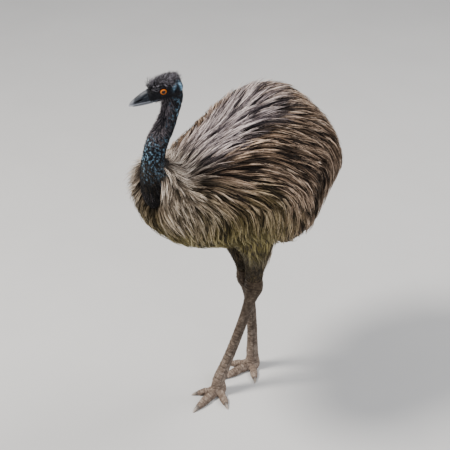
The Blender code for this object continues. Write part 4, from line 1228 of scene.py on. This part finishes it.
def body_hang(place, normal):
    """How freely the plumage hangs, most of all at the rear of the flanks."""
    share = 0.22 + 0.38 * float(smooth(place.y, 0.06, 0.14) * fall(place.y, 0.18, 0.24))
    return share * float(fall(normal.z, -0.42, -0.02) * fall(normal.z, 0.6, 1.2))


def make_body_coat(draw):
    guide = plumage_guide()
    tree = tree_of(guide)
    roots, facing = scatter(guide, BODY_SPACING, draw, body_density)
    bpy.data.objects.remove(guide)
    count = len(roots)
    _, y, z = roots.T
    ruff = smooth(z, 0.88, 0.97) * fall(y, -0.3, -0.22)
    groove = rump_groove(roots)
    # Pale tufts have a high rank and lie on top of the dark ones
    rank = draw.random(count)
    low_tail = smooth(y, 0.19, 0.27) * fall(z, 0.86, 0.96)
    lengths = (0.14 - 0.078 * ruff) * draw.uniform(0.85, 1.15, count)
    lengths *= (1 - 0.5 * groove) * (1 - 0.45 * low_tail)
    lengths *= 1 - 0.3 * smooth(y, 0.13, 0.19) * fall(z, 0.8, 0.88)
    bend = draw.normal(0, 0.1, count) + 0.16 * waves(roots, 0.12, 31)
    top = smooth(facing[:, 2], 0.45, 0.85) * smooth(y, -0.25, -0.05)
    crest = bump_at(y - 0.01, 0.09)
    rear = smooth(y, 0.19, 0.29)
    rise = -0.012 + 0.015 * rank + (0.009 + 0.014 * crest) * top - 0.005 * rear - 0.014 * groove
    sweep = 1.5 + 2.2 * rank + 2.0 * top
    points, ups, width, tuft, across = grow(
        draw, tree, BODY_LOOK, roots, lengths, bend, body_lie, rise, sweep, body_hang, stop_at_groove
    )
    root = roots[tuft]
    ruff = ruff[tuft]
    # The ruff and the fringes stand off the body
    share = np.linspace(0, 1, points.shape[1])[None, :, None] ** 2
    loose = 0.034 * ruff + 0.006 * fall(root[:, 2], 0.7, 0.8)
    points = points + ups * (loose * draw.random(len(tuft)))[:, None, None] * share
    tone = smooth(0.5 * rank + 0.5 * draw.random(count), 0.24, 0.82)
    # Strands at the sides of each tuft are painted darker, as shade in the gaps between the tufts
    tone = 0.78 * tone[tuft] + 0.22 * draw.random(len(tuft)) - 0.15 * np.abs(across) ** 2
    values = {"Tone": np.clip(tone + 0.13 * ruff, 0, 1), "OliveShade": olive_shade(root), "Lilac": lilac(root),
              "DarkAndShade": dark_and_shade(root), "Pale": pale(root)}
    return coat_pieces("coat_body", "body", root[:, 1], points, ups, width * (1 - 0.4 * ruff), values)


# Cleft in front of the rump's hanging feathers: z, y
GROOVE_Z, GROOVE_Y = zip((0.800, 0.105), (0.847, 0.118), (0.884, 0.129), (0.926, 0.142), (0.965, 0.150))


def groove_line(z):
    """How far back the cleft in front of the rump lies."""
    return np.interp(z, GROOVE_Z, GROOVE_Y)


def stop_at_groove(lines):
    """Flank feathers that would lie across the cleft end at it."""
    past = lines[:, :, 1] - groove_line(lines[:, :, 2])
    first = lines[:, 0]
    across = past.max(1) > 0
    flank = (past[:, 0] < 0) & (first[:, 2] < 0.975) & (first[:, 2] > 0.8) & (np.abs(first[:, 0]) > 0.1)
    steps = lines.shape[1] - 1
    k = np.clip(np.argmax(past > 0, axis=1), 1, steps)
    row = np.arange(len(lines))
    before, after = past[row, k - 1], past[row, k]
    share = (k - 1 + before / (before - after + 1e-9)) / steps
    share = np.where(flank & across, np.clip(share, 0.3, 1.0), 1.0)
    at = np.linspace(0, 1, steps + 1)[None, :] * share[:, None] * steps
    low = np.minimum(at.astype(int), steps - 1)
    part = (at - low)[:, :, None]
    return lines[row[:, None], low] * (1 - part) + lines[row[:, None], low + 1] * part


def olive_shade(places):
    """Lower flanks and belly painted yellow-olive and darker: painted shade and painted green bounce light
    from below.
    """
    front = 0.055 * fall(places[:, 1], -0.16, -0.02)
    low = smooth(front - places[:, 2] + 0.02 * waves(places, 0.1, 43), -0.92, -0.78)
    return low * (1 - 0.9 * smooth(places[:, 1], -0.08, 0.08))


def lilac(places):
    """Cool, greyish front half of the back along the spine."""
    x, y, z = places.T
    return smooth(z, 0.93, 1.0) * fall(np.abs(x), 0.05, 0.088) * fall(y, -0.04, 0.14)


def dark_and_shade(places):
    """Dark patches of the flanks' own colour, and painted shade in the groove in front of the tail, over the
    lower tail and low on the body over the thighs.
    """
    x, y, z = places.T
    # The flanks' own dark patches, then painted shade in the cleft, on the lower tail and low over the
    # thighs
    patch = smooth(waves(places, 0.15, 41), 0.3, 0.85) * fall(np.abs(z - 0.88), 0.07, 0.17)
    groove = rump_groove(places)
    tail = 0.42 * smooth(y, 0.155, 0.185) * fall(z, 0.93, 1.0)
    thigh = 0.6 * fall(z, 0.66, 0.72) * smooth(y, -0.16, -0.08)
    return np.clip(0.42 * patch + 0.95 * groove + tail + thigh, 0, 1)


def rump_groove(places):
    """Cleft between each flank's plumage and the hanging feathers of the rump, where shade is painted in."""
    x, y, z = places.T
    cleft = bump_at(y - groove_line(z) - 0.006, 0.017) * fall(z, 0.925, 0.965) * smooth(z, 0.775, 0.815)
    return cleft * smooth(np.abs(x), 0.12, 0.16)


def pale(places):
    """Pale ruff at the base of the neck."""
    return fall(places[:, 1], -0.3, -0.2) * (1 - 0.9 * olive_shade(places))


def neck_density(places):
    z = places[:, 2]
    wanted = smooth(z, 0.855, 0.875) * fall(z, 1.205, 1.24)
    near = fall(to_neck(places)[1], 0.046, 0.052)
    return wanted * near * (1 - 0.45 * blue_skin(places)) * (1 - 0.2 * smooth(z, 1.1, 1.18))


def make_neck_coat(draw, skin, tree):
    roots, _ = scatter(skin, NECK_SPACING, draw, neck_density)
    count = len(roots)
    z = roots[:, 2]
    angle = to_neck(roots)[0]
    low = fall(z, 0.93, 1.03)
    front = fall(angle, 0.6, 1.7) * smooth(z, 1.06, 1.12)
    near_head = smooth(z, 1.165, 1.225) * smooth(angle, 0.9, 1.6)
    lengths = (0.012 + 0.02 * low + 0.004 * front) * draw.uniform(0.7, 1.3, count) * (1 - 0.45 * near_head)
    bend = draw.normal(0, 0.26, count)
    rise = (draw.uniform(0.0006, 0.0032, count) + 0.005 * front + 0.0015 * low) * (1 - 0.7 * near_head)
    points, ups, width, tuft, _ = grow(draw, tree, NECK_LOOK, roots, lengths, bend,
                                       lambda place, _: (0.12 if place.x > 0 else -0.12, 0.22, -1.0), rise)
    front = front[tuft]
    tone = np.clip(0.5 * draw.random(count)[tuft] + 0.5 * draw.random(len(tuft)) + 0.22 * front, 0, 1)
    # Mauve-grey fuzz up the front of the neck, near black elsewhere, and a few pale stray feathers low down
    grey = np.clip(0.9 * front + 0.1, 0, 1)
    stray = (draw.random(len(tuft)) < 0.04) & (z[tuft] < 0.96)
    grey[stray] = 1.0
    tone[stray] = 1.0
    return coat_pieces("coat_neck", "neck", z[tuft], points, ups, width, {"Tone": tone, "Grey": grey})


def clear_of_eye(forward, side, up, start, end):
    eye = smooth(np.hypot(forward / 1.15, up), start, end)
    return np.maximum(eye, fall(np.abs(side), 0.008, 0.012))


def crown_density(places):
    forward, side, up = to_head(places).T
    cap = smooth(up - brow_height(forward), -0.0015, 0.002) * fall(forward, 0.034, 0.04)
    cap = cap * smooth(forward - 1.1 * np.abs(side), -0.064, -0.058)
    eye = clear_of_eye(forward, side, up, 0.0165, 0.0185)
    return cap * eye * (1 - 0.9 * blue_skin(places)) * smooth(places[:, 2], 1.2, 1.21)


def make_crown_coat(draw, skin, tree):
    """Bushy cap of curly, bristly feathers that stand up towards the back of the head."""
    roots, _ = scatter(skin, CROWN_SPACING, draw, crown_density)
    count = len(roots)
    forward, side, up = to_head(roots).T
    front = smooth(forward, 0.012, 0.03)
    nape = fall(forward, -0.048, -0.04)
    rear = fall(forward, -0.042, -0.01) * (1 - nape)
    high = smooth(up + 0.35 * np.maximum(forward, 0), 0.003, 0.015)
    lengths = (0.007 + 0.006 * high + 0.006 * rear * high + 0.005 * front) * draw.uniform(0.65, 1.35, count)
    bend = draw.normal(0, 0.6, count)
    back = HEAD_MATRIX[:3, :3] @ np.array([0, 1.0, 0.1])
    points, ups, width, tuft, _ = grow(draw, tree, CROWN_LOOK, roots, lengths, bend, lambda *_: back, 0.001)
    share = np.linspace(0, 1, points.shape[1])[None, :, None]
    stand = 0.0025 + 0.006 * high + 0.008 * rear * high + 0.015 * front * high
    stand = stand * draw.uniform(0.15, 1.25, count) * (1 - 0.8 * nape)
    points = points + ups * stand[tuft][:, None, None] * share ** 0.8
    # Each feather curls over towards its tip
    curl = draw.normal(0, 0.0016, (len(tuft), 1, 3)) * np.sin(share * np.pi * 1.3) * share
    points = points + curl * high[tuft][:, None, None]
    tone = np.clip(0.75 * draw.random(count)[tuft] + 0.55 * draw.random(len(tuft)) - 0.1, 0, 1)
    grey = ((1 - 0.3 * fall(forward, -0.045, -0.015)) * (0.35 + 0.65 * smooth(up, 0.003, 0.011)))[tuft]
    return strand_mesh("coat_crown", "head", points, ups, width, {"Tone": tone, "Grey": grey})


# Lower edge of the crown in the head frame: forward, up
BROW_LINE = (
    (-0.055, 0.0120),
    (-0.035, 0.0040),
    (-0.015, 0.0125),
    (0.010, 0.0150),
    (0.025, 0.0095),
    (0.036, 0.0030),
)


def brow_height(forward):
    """Lower edge of the crown's feathers along the side of the head."""
    return np.interp(forward, *zip(*BROW_LINE))


def face_density(places):
    forward, side, up = to_head(places).T
    head = smooth(places[:, 2], 1.19, 1.205) * fall(forward, 0.0425, 0.044)
    eye = clear_of_eye(forward, side, up, 0.0175, 0.02)
    ear = smooth(np.hypot(forward - EAR_AT[0], up - EAR_AT[1]), 0.0035, 0.006)
    gape = 1 - bump_at(up - gape_height(forward), 0.004) * smooth(forward, 0.014, 0.02)
    below = smooth(brow_height(forward) - up, -0.002, 0.001)
    return head * eye * ear * gape * below * (1 - 0.9 * blue_skin(places))


def make_face_coat(draw, skin, tree):
    """Fine, flat, sparse bristles on the face and throat."""
    roots, _ = scatter(skin, FACE_SPACING, draw, face_density)
    count = len(roots)
    lengths = 0.0042 * draw.uniform(0.6, 1.4, count)
    bend = draw.normal(0, 0.4, count)
    down = HEAD_MATRIX[:3, :3] @ np.array([0, 0.8, -0.55])
    rise = draw.uniform(0.0002, 0.001, count)
    points, ups, width, tuft, _ = grow(draw, tree, FACE_LOOK, roots, lengths, bend, lambda *_: down, rise)
    values = {"Tone": draw.random(len(tuft)), "Grey": np.zeros(len(tuft))}
    return strand_mesh("coat_face", "head", points, ups, width, values)


def leg_density(places):
    return smooth(places[:, 2], 0.437, 0.45) * fall(places[:, 2], 0.66, 0.7)


def make_leg_coat(draw, side):
    guide = limb("guide", DRUMSTICK_ROWS[side], 1.0)
    tree = tree_of(guide)
    roots, _ = scatter(guide, LEG_SPACING, draw, leg_density)
    bpy.data.objects.remove(guide)
    count = len(roots)
    lengths = (0.016 + 0.038 * smooth(roots[:, 2], 0.45, 0.6)) * draw.uniform(0.75, 1.2, count)
    bend = draw.normal(0, 0.22, count)
    rise = draw.uniform(0.0, 0.0045, count)
    points, ups, width, tuft, _ = grow(draw, tree, LEG_LOOK, roots, lengths, bend,
                                       lambda *_: (0.0, 0.12, -1.0), rise)
    tone = np.clip(0.6 * draw.random(count)[tuft] + 0.4 * draw.random(len(tuft)), 0, 1)
    root = roots[tuft]
    none = np.zeros(len(tuft))
    # The drumsticks get the painted olive shade and bounce light too, more of it higher up
    values = {"Tone": 0.8 * tone, "OliveShade": 0.45 + 0.25 * smooth(root[:, 2], 0.5, 0.64), "Lilac": none,
              # Darker drumstick feathers, partly their own colour and partly painted shade under the body
              "DarkAndShade": 0.6 + 0.3 * smooth(waves(root, 0.06, 44), -0.2, 0.6), "Pale": none}
    return strand_mesh(f"coat_leg_{side}", side, points, ups, width, values)


# Materials

class Shader:
    """Small helper round a material's nodes."""

    def __init__(self, name, roughness, **inputs):
        self.material = bpy.data.materials.new(name)
        self.material.use_nodes = True
        self.nodes = self.material.node_tree.nodes
        self.links = self.material.node_tree.links
        self.surface = self.nodes["Principled BSDF"].inputs
        self.surface["Roughness"].default_value = roughness
        for key, value in inputs.items():
            self.surface[key.replace("_", " ")].default_value = value

    def feed(self, socket, value):
        if isinstance(value, bpy.types.NodeSocket):
            self.links.new(value, socket)
        else:
            socket.default_value = (*value, 1.0) if socket.type == "RGBA" else value

    def node(self, kind, inputs, **settings):
        made = self.nodes.new(kind)
        for key, value in settings.items():
            setattr(made, key, value)
        for key, value in inputs.items():
            self.feed(made.inputs[key], value)
        return made.outputs

    def value(self, name):
        return self.node("ShaderNodeAttribute", {}, attribute_name=name)["Fac"]

    def place(self, stretch=None):
        here = self.node("ShaderNodeTexCoord", {})["Object"]
        if stretch is None:
            return here
        return self.node("ShaderNodeMapping", {"Vector": here, "Scale": stretch})["Vector"]

    def ramp(self, source, *stops):
        """Colours over a value. Each stop has its place, red, green and blue, all in thousandths."""
        made = self.nodes.new("ShaderNodeValToRGB")
        elements = made.color_ramp.elements
        elements.remove(elements[1])
        for k, stop in enumerate(stops):
            place, *colour = (part / 1000 for part in stop)
            element = elements.new(place) if k else elements[0]
            element.position = place
            element.color = (*colour, 1.0)
        self.feed(made.inputs["Fac"], source)
        return made.outputs["Color"]

    def mix(self, factor, first, second, kind="MIX"):
        inputs = {0: factor, 6: first, 7: second}
        return self.node("ShaderNodeMix", inputs, data_type="RGBA", blend_type=kind)[2]

    def tint(self, first, second):
        return self.mix(1.0, first, second, "MULTIPLY")

    def math(self, kind, first, second=0.0):
        return self.node("ShaderNodeMath", {0: first, 1: second}, operation=kind)[0]

    def noise(self, scale, detail=4.0, stretch=None, rough=0.55):
        inputs = {"Scale": scale, "Detail": detail, "Roughness": rough, "Vector": self.place(stretch)}
        return self.node("ShaderNodeTexNoise", inputs)["Fac"]

    def cells(self, scale):
        inputs = {"Scale": scale, "Vector": self.place()}
        return self.node("ShaderNodeTexVoronoi", inputs, feature="DISTANCE_TO_EDGE")["Distance"]

    def bump(self, height, strength, distance):
        inputs = {"Strength": strength, "Distance": distance, "Height": height}
        if self.surface["Normal"].links:
            inputs["Normal"] = self.surface["Normal"].links[0].from_socket
        self.feed(self.surface["Normal"], self.node("ShaderNodeBump", inputs)["Normal"])

    def finish(self, colour, rough=None, low=0.0, high=1.0):
        """Links the colour, and the roughness over its range, and returns the material."""
        self.feed(self.surface["Base Color"], colour)
        if rough is not None:
            inputs = {"To Min": low, "To Max": high, "Value": rough}
            self.feed(self.surface["Roughness"], self.node("ShaderNodeMapRange", inputs)["Result"])
        return self.material


def body_feathers():
    made = Shader("body_feathers", 0.62, Specular_IOR_Level=0.2)
    tone = made.value("Tone")
    brown = made.ramp(tone, (0, 7, 4, 3), (380, 40, 25, 15), (660, 230, 152, 100), (880, 680, 505, 370),
                      (1000, 900, 730, 580))
    lilac = made.ramp(tone, (0, 12, 9, 13), (300, 80, 64, 72), (580, 360, 305, 310), (1000, 860, 760, 740))
    olive_shade = made.ramp(tone, (0, 12, 9, 2), (380, 100, 78, 17), (720, 255, 208, 70), (1000, 520, 438, 205))
    pale = made.ramp(tone, (0, 14, 11, 7), (380, 130, 103, 68), (720, 430, 355, 260), (1000, 840, 740, 600))
    colour = made.mix(made.value("Lilac"), brown, lilac)
    # Painted shade and greenish bounce light on the lower flanks, belly and drumsticks
    colour = made.mix(made.value("OliveShade"), colour, olive_shade)
    colour = made.mix(made.math("MULTIPLY", made.value("Pale"), 0.75), colour, pale)
    # Painted shade in the rump's cleft, on the lower tail and over the thighs, with the flanks' own dark
    # patches
    colour = made.mix(made.math("MULTIPLY", made.value("DarkAndShade"), 0.72), colour, (0.03, 0.022, 0.014))
    # Darker towards the roots, partly the feathers' own downy bases and partly painted shade under the
    # strands that lie over them, and dusky ends to the strands
    root = made.ramp(made.value("Along"), (0, 50, 45, 40), (300, 400, 370, 350), (580, 1000, 1000, 1000),
                     (900, 1000, 1000, 1000), (1000, 620, 580, 550))
    fine = made.ramp(made.noise(130.0, rough=0.6), (320, 660, 630, 600), (680, 1260, 1250, 1240))
    return made.finish(made.tint(made.tint(colour, root), fine), tone, 0.72, 0.5)


def dark_feathers(name, dark, light):
    """Neck and head feathers from near black to grey, each with its brightest tone."""
    made = Shader(name, 0.6, Specular_IOR_Level=0.08)
    tone = made.value("Tone")
    black = made.ramp(tone, (0, 3, 3, 4), (600, 11, 11, 11), (1000, *dark))
    grey = made.ramp(tone, (0, 9, 8, 9), (600, 56, 51, 56), (1000, *light))
    # Darker towards the roots: partly the feathers' own bases, partly painted shade under the feathers over
    # them
    root = made.ramp(made.value("Along"), (0, 450, 450, 450), (600, 1000, 1000, 1000))
    colour = made.tint(made.mix(made.value("Grey"), black, grey), root)
    return made.finish(colour, made.noise(300.0, 2.0), 0.42, 0.66)


def skin_material():
    made = Shader("bare_skin", 0.55, Specular_IOR_Level=0.11)
    mottle = made.noise(140.0, 5.0)
    body = made.ramp(mottle, (300, 30, 22, 15), (700, 55, 42, 30))
    slate = made.ramp(mottle, (250, 3, 3, 4), (550, 8, 8, 10), (800, 26, 26, 30))
    blue = made.ramp(made.noise(190.0), (250, 50, 110, 170), (550, 250, 430, 580), (800, 560, 760, 880))
    leg = made.ramp(made.noise(75.0, 6.0, rough=0.65), (250, 70, 52, 40), (500, 185, 148, 120),
                    (700, 380, 325, 275), (860, 620, 550, 480))
    # Painted shade on the legs: lighter near the floor, darker up towards the body
    height = made.node("ShaderNodeSeparateXYZ", {0: made.place()})["Z"]
    shade_up_the_leg = made.ramp(height, (0, 1100, 1020, 980), (80, 980, 930, 900), (170, 620, 580, 550),
                     (340, 400, 360, 320), (460, 320, 270, 200))
    broken = made.ramp(made.noise(260.0, 5.0, rough=0.7), (340, 0, 0, 0), (520, 1000, 1000, 1000))
    colour = made.mix(made.value("Bare"), body, slate)
    colour = made.mix(made.math("MULTIPLY", made.value("Blue"), broken), colour, blue)
    colour = made.mix(made.value("Leg"), colour, made.tint(leg, shade_up_the_leg))
    colour = made.mix(made.value("Horn"), colour, (0.13, 0.15, 0.18))
    # Painted shade in the grooves, creases and folds of the legs
    colour = made.mix(made.math("MULTIPLY", made.value("GrooveShade"), 0.85), colour, (0.02, 0.014, 0.01))
    made.bump(made.cells(620.0), 0.35, 0.0006)
    made.bump(made.noise(420.0, 5.0), 0.3, 0.0007)
    return made.finish(colour, mottle, 0.42, 0.7)


def bill_material():
    made = Shader("horn_bill", 0.4, Specular_IOR_Level=0.11)
    streak = made.noise(420.0, 5.0, (1.0, 0.3, 1.0))
    horn = made.ramp(streak, (250, 6, 7, 9), (550, 16, 19, 25), (800, 34, 39, 48))
    pale = made.ramp(streak, (250, 170, 180, 205), (750, 380, 390, 420))
    # The bill's own pale tip and edges, and the painted highlight on the ridge
    colour = made.mix(made.value("Light"), horn, pale)
    # Painted shade in the nostril and along the parting
    colour = made.mix(made.value("Hollow"), colour, (0.003, 0.003, 0.004))
    made.bump(made.noise(500.0, 4.0, (1.0, 0.3, 1.0)), 0.22, 0.0004)
    return made.finish(colour, streak, 0.34, 0.56)


def eye_material():
    made = Shader("eye_glass", 0.09, Specular_IOR_Level=0.28, Coat_Weight=0.08, Coat_Roughness=0.02)
    spokes = made.math("SINE", made.math("MULTIPLY", made.value("Turn"), 38.0))
    fleck = made.math("ADD", made.noise(900.0), made.math("MULTIPLY", spokes, 0.1))
    iris = made.ramp(fleck, (250, 270, 55, 4), (550, 530, 140, 8), (850, 740, 270, 22))
    # Black pupil, orange iris and its dark rim
    rim = made.ramp(made.value("Away"), (0, 0, 0, 0), (420, 0, 0, 0), (445, 550, 450, 400),
                    (510, 1000, 1000, 1000), (660, 1000, 1000, 1000), (735, 160, 100, 80), (790, 20, 15, 12))
    return made.finish(made.tint(iris, rim))


def claw_material():
    made = Shader("claw_horn", 0.4, Specular_IOR_Level=0.5)
    streak = made.noise(320.0, 4.0, (1.0, 0.4, 1.0))
    dark = made.ramp(streak, (300, 60, 48, 40), (700, 150, 120, 100))
    pale = made.ramp(streak, (300, 300, 250, 205), (700, 520, 450, 380))
    tip = made.ramp(made.value("Tip"), (150, 0, 0, 0), (950, 1000, 1000, 1000))
    made.bump(streak, 0.3, 0.0005)
    return made.finish(made.mix(tip, dark, pale))


def floor_material():
    made = Shader("studio_floor", 0.75)
    return made.finish(made.ramp(made.noise(3.0, 2.0), (300, 565, 560, 550), (700, 585, 580, 570)))


# Stage

TARGET = Vector((-0.0843, 0.0264, 0.6))
AZIMUTH, ELEVATION, DISTANCE = math.radians(47), math.radians(33), 4.1
LENS, SENSOR = 98.0, 36.0
FLOOR_SIZE = 9.0
SKY_COLOUR, SKY_STRENGTH = (0.86, 0.90, 1.0, 1.0), 0.38
LIT_AT = Vector((0, 0, 0.7))
# Lights: name, place, size, power and colour
LIGHTS = (
    ("key", (-1.5, -2.0, 4.2), 1.2, 330.0, (1.0, 0.96, 0.9)),
    ("side", (3.0, -1.0, 2.4), 2.2, 60.0, (0.94, 0.96, 1.0)),
    ("rear", (0.6, 3.0, 3.4), 1.6, 110.0, (1.0, 0.98, 0.95)),
)


def aim(made, place, direction):
    made.location = place
    made.rotation_euler = direction.to_track_quat("-Z", "Y").to_euler()


def make_stage():
    mesh = bmesh.new()
    bmesh.ops.create_grid(mesh, x_segments=8, y_segments=8, size=FLOOR_SIZE)
    floor = object_from("studio_floor", mesh)
    floor.data.materials.append(floor_material())
    level = math.cos(ELEVATION)
    back = Vector((math.sin(AZIMUTH) * level, -math.cos(AZIMUTH) * level, math.sin(ELEVATION)))
    camera = add_object("camera", bpy.data.cameras.new("camera"))
    camera.data.lens = LENS
    camera.data.sensor_width = SENSOR
    aim(camera, TARGET + back * DISTANCE, -back)
    bpy.context.scene.camera = camera
    world = bpy.data.worlds.new("studio")
    bpy.context.scene.world = world
    world.use_nodes = True
    background = world.node_tree.nodes["Background"].inputs
    background["Color"].default_value = SKY_COLOUR
    background["Strength"].default_value = SKY_STRENGTH
    for name, place, size, power, colour in LIGHTS:
        data = bpy.data.lights.new(name, "AREA")
        data.shape = "DISK"
        data.size = size
        data.energy = power
        data.color = colour
        aim(add_object(name, data), place, LIT_AT - Vector(place))


# Assembly

def add_piece(made, material, slot, *nodes):
    """Hands a piece to the frame, where it takes the place of the nodes."""
    made.data.materials.clear()
    made.data.materials.append(material)
    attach(made, "root")
    if nodes:
        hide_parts(*nodes)


def add_skin(skin):
    legs = [f"leg_{part}_{side}" for part in ("drumstick", "shank") for side in LEFT_RIGHT]
    nodes = ["torso", "tail", "neck_lower", "neck_upper", "head", *legs, "foot_L", "foot_R"]
    add_piece(skin, skin_material(), "head_skin", *nodes)


def add_coats(skin):
    draw = np.random.default_rng(SEED)
    tree = tree_of(skin)
    feathers = body_feathers()
    for made in make_body_coat(draw):
        add_piece(made, feathers, "plumage")
    for side in LEFT_RIGHT:
        add_piece(make_leg_coat(draw, side), feathers, "leg_plumage")
    feathers = dark_feathers("neck_feathers", (50, 47, 47), (270, 230, 245))
    for made in make_neck_coat(draw, skin, tree):
        add_piece(made, feathers, "neck_plumage")
    feathers = dark_feathers("head_feathers", (26, 26, 29), (360, 340, 390))
    for make_coat in (make_crown_coat, make_face_coat):
        add_piece(make_coat(draw, skin, tree), feathers, "head_skin")


def add_horn_and_eyes():
    horn = bill_material()
    halves = (("bill_top", CULMEN_ROWS, True, "bill_upper"), ("bill_under", GONYS_ROWS, False, "bill_lower"))
    for name, rows, upper, node in halves:
        made = bill_half(name, rows, upper)
        carve_bill(made, upper)
        paint_bill(made, upper)
        add_piece(made, horn, "bill", node)
    glass = eye_material()
    for side, sign in zip(LEFT_RIGHT, (1, -1)):
        add_piece(make_eye(f"eyeball_{side}", sign), glass, "eye", f"eye_{side}")
    horn = claw_material()
    for side, toe in product(LEFT_RIGHT, TOE_SIZES):
        add_piece(make_claw(side, toe), horn, "claw", f"claw_{toe}_{side}")


bird = make_skin()
add_skin(bird)
add_coats(bird)
add_horn_and_eyes()
make_stage()
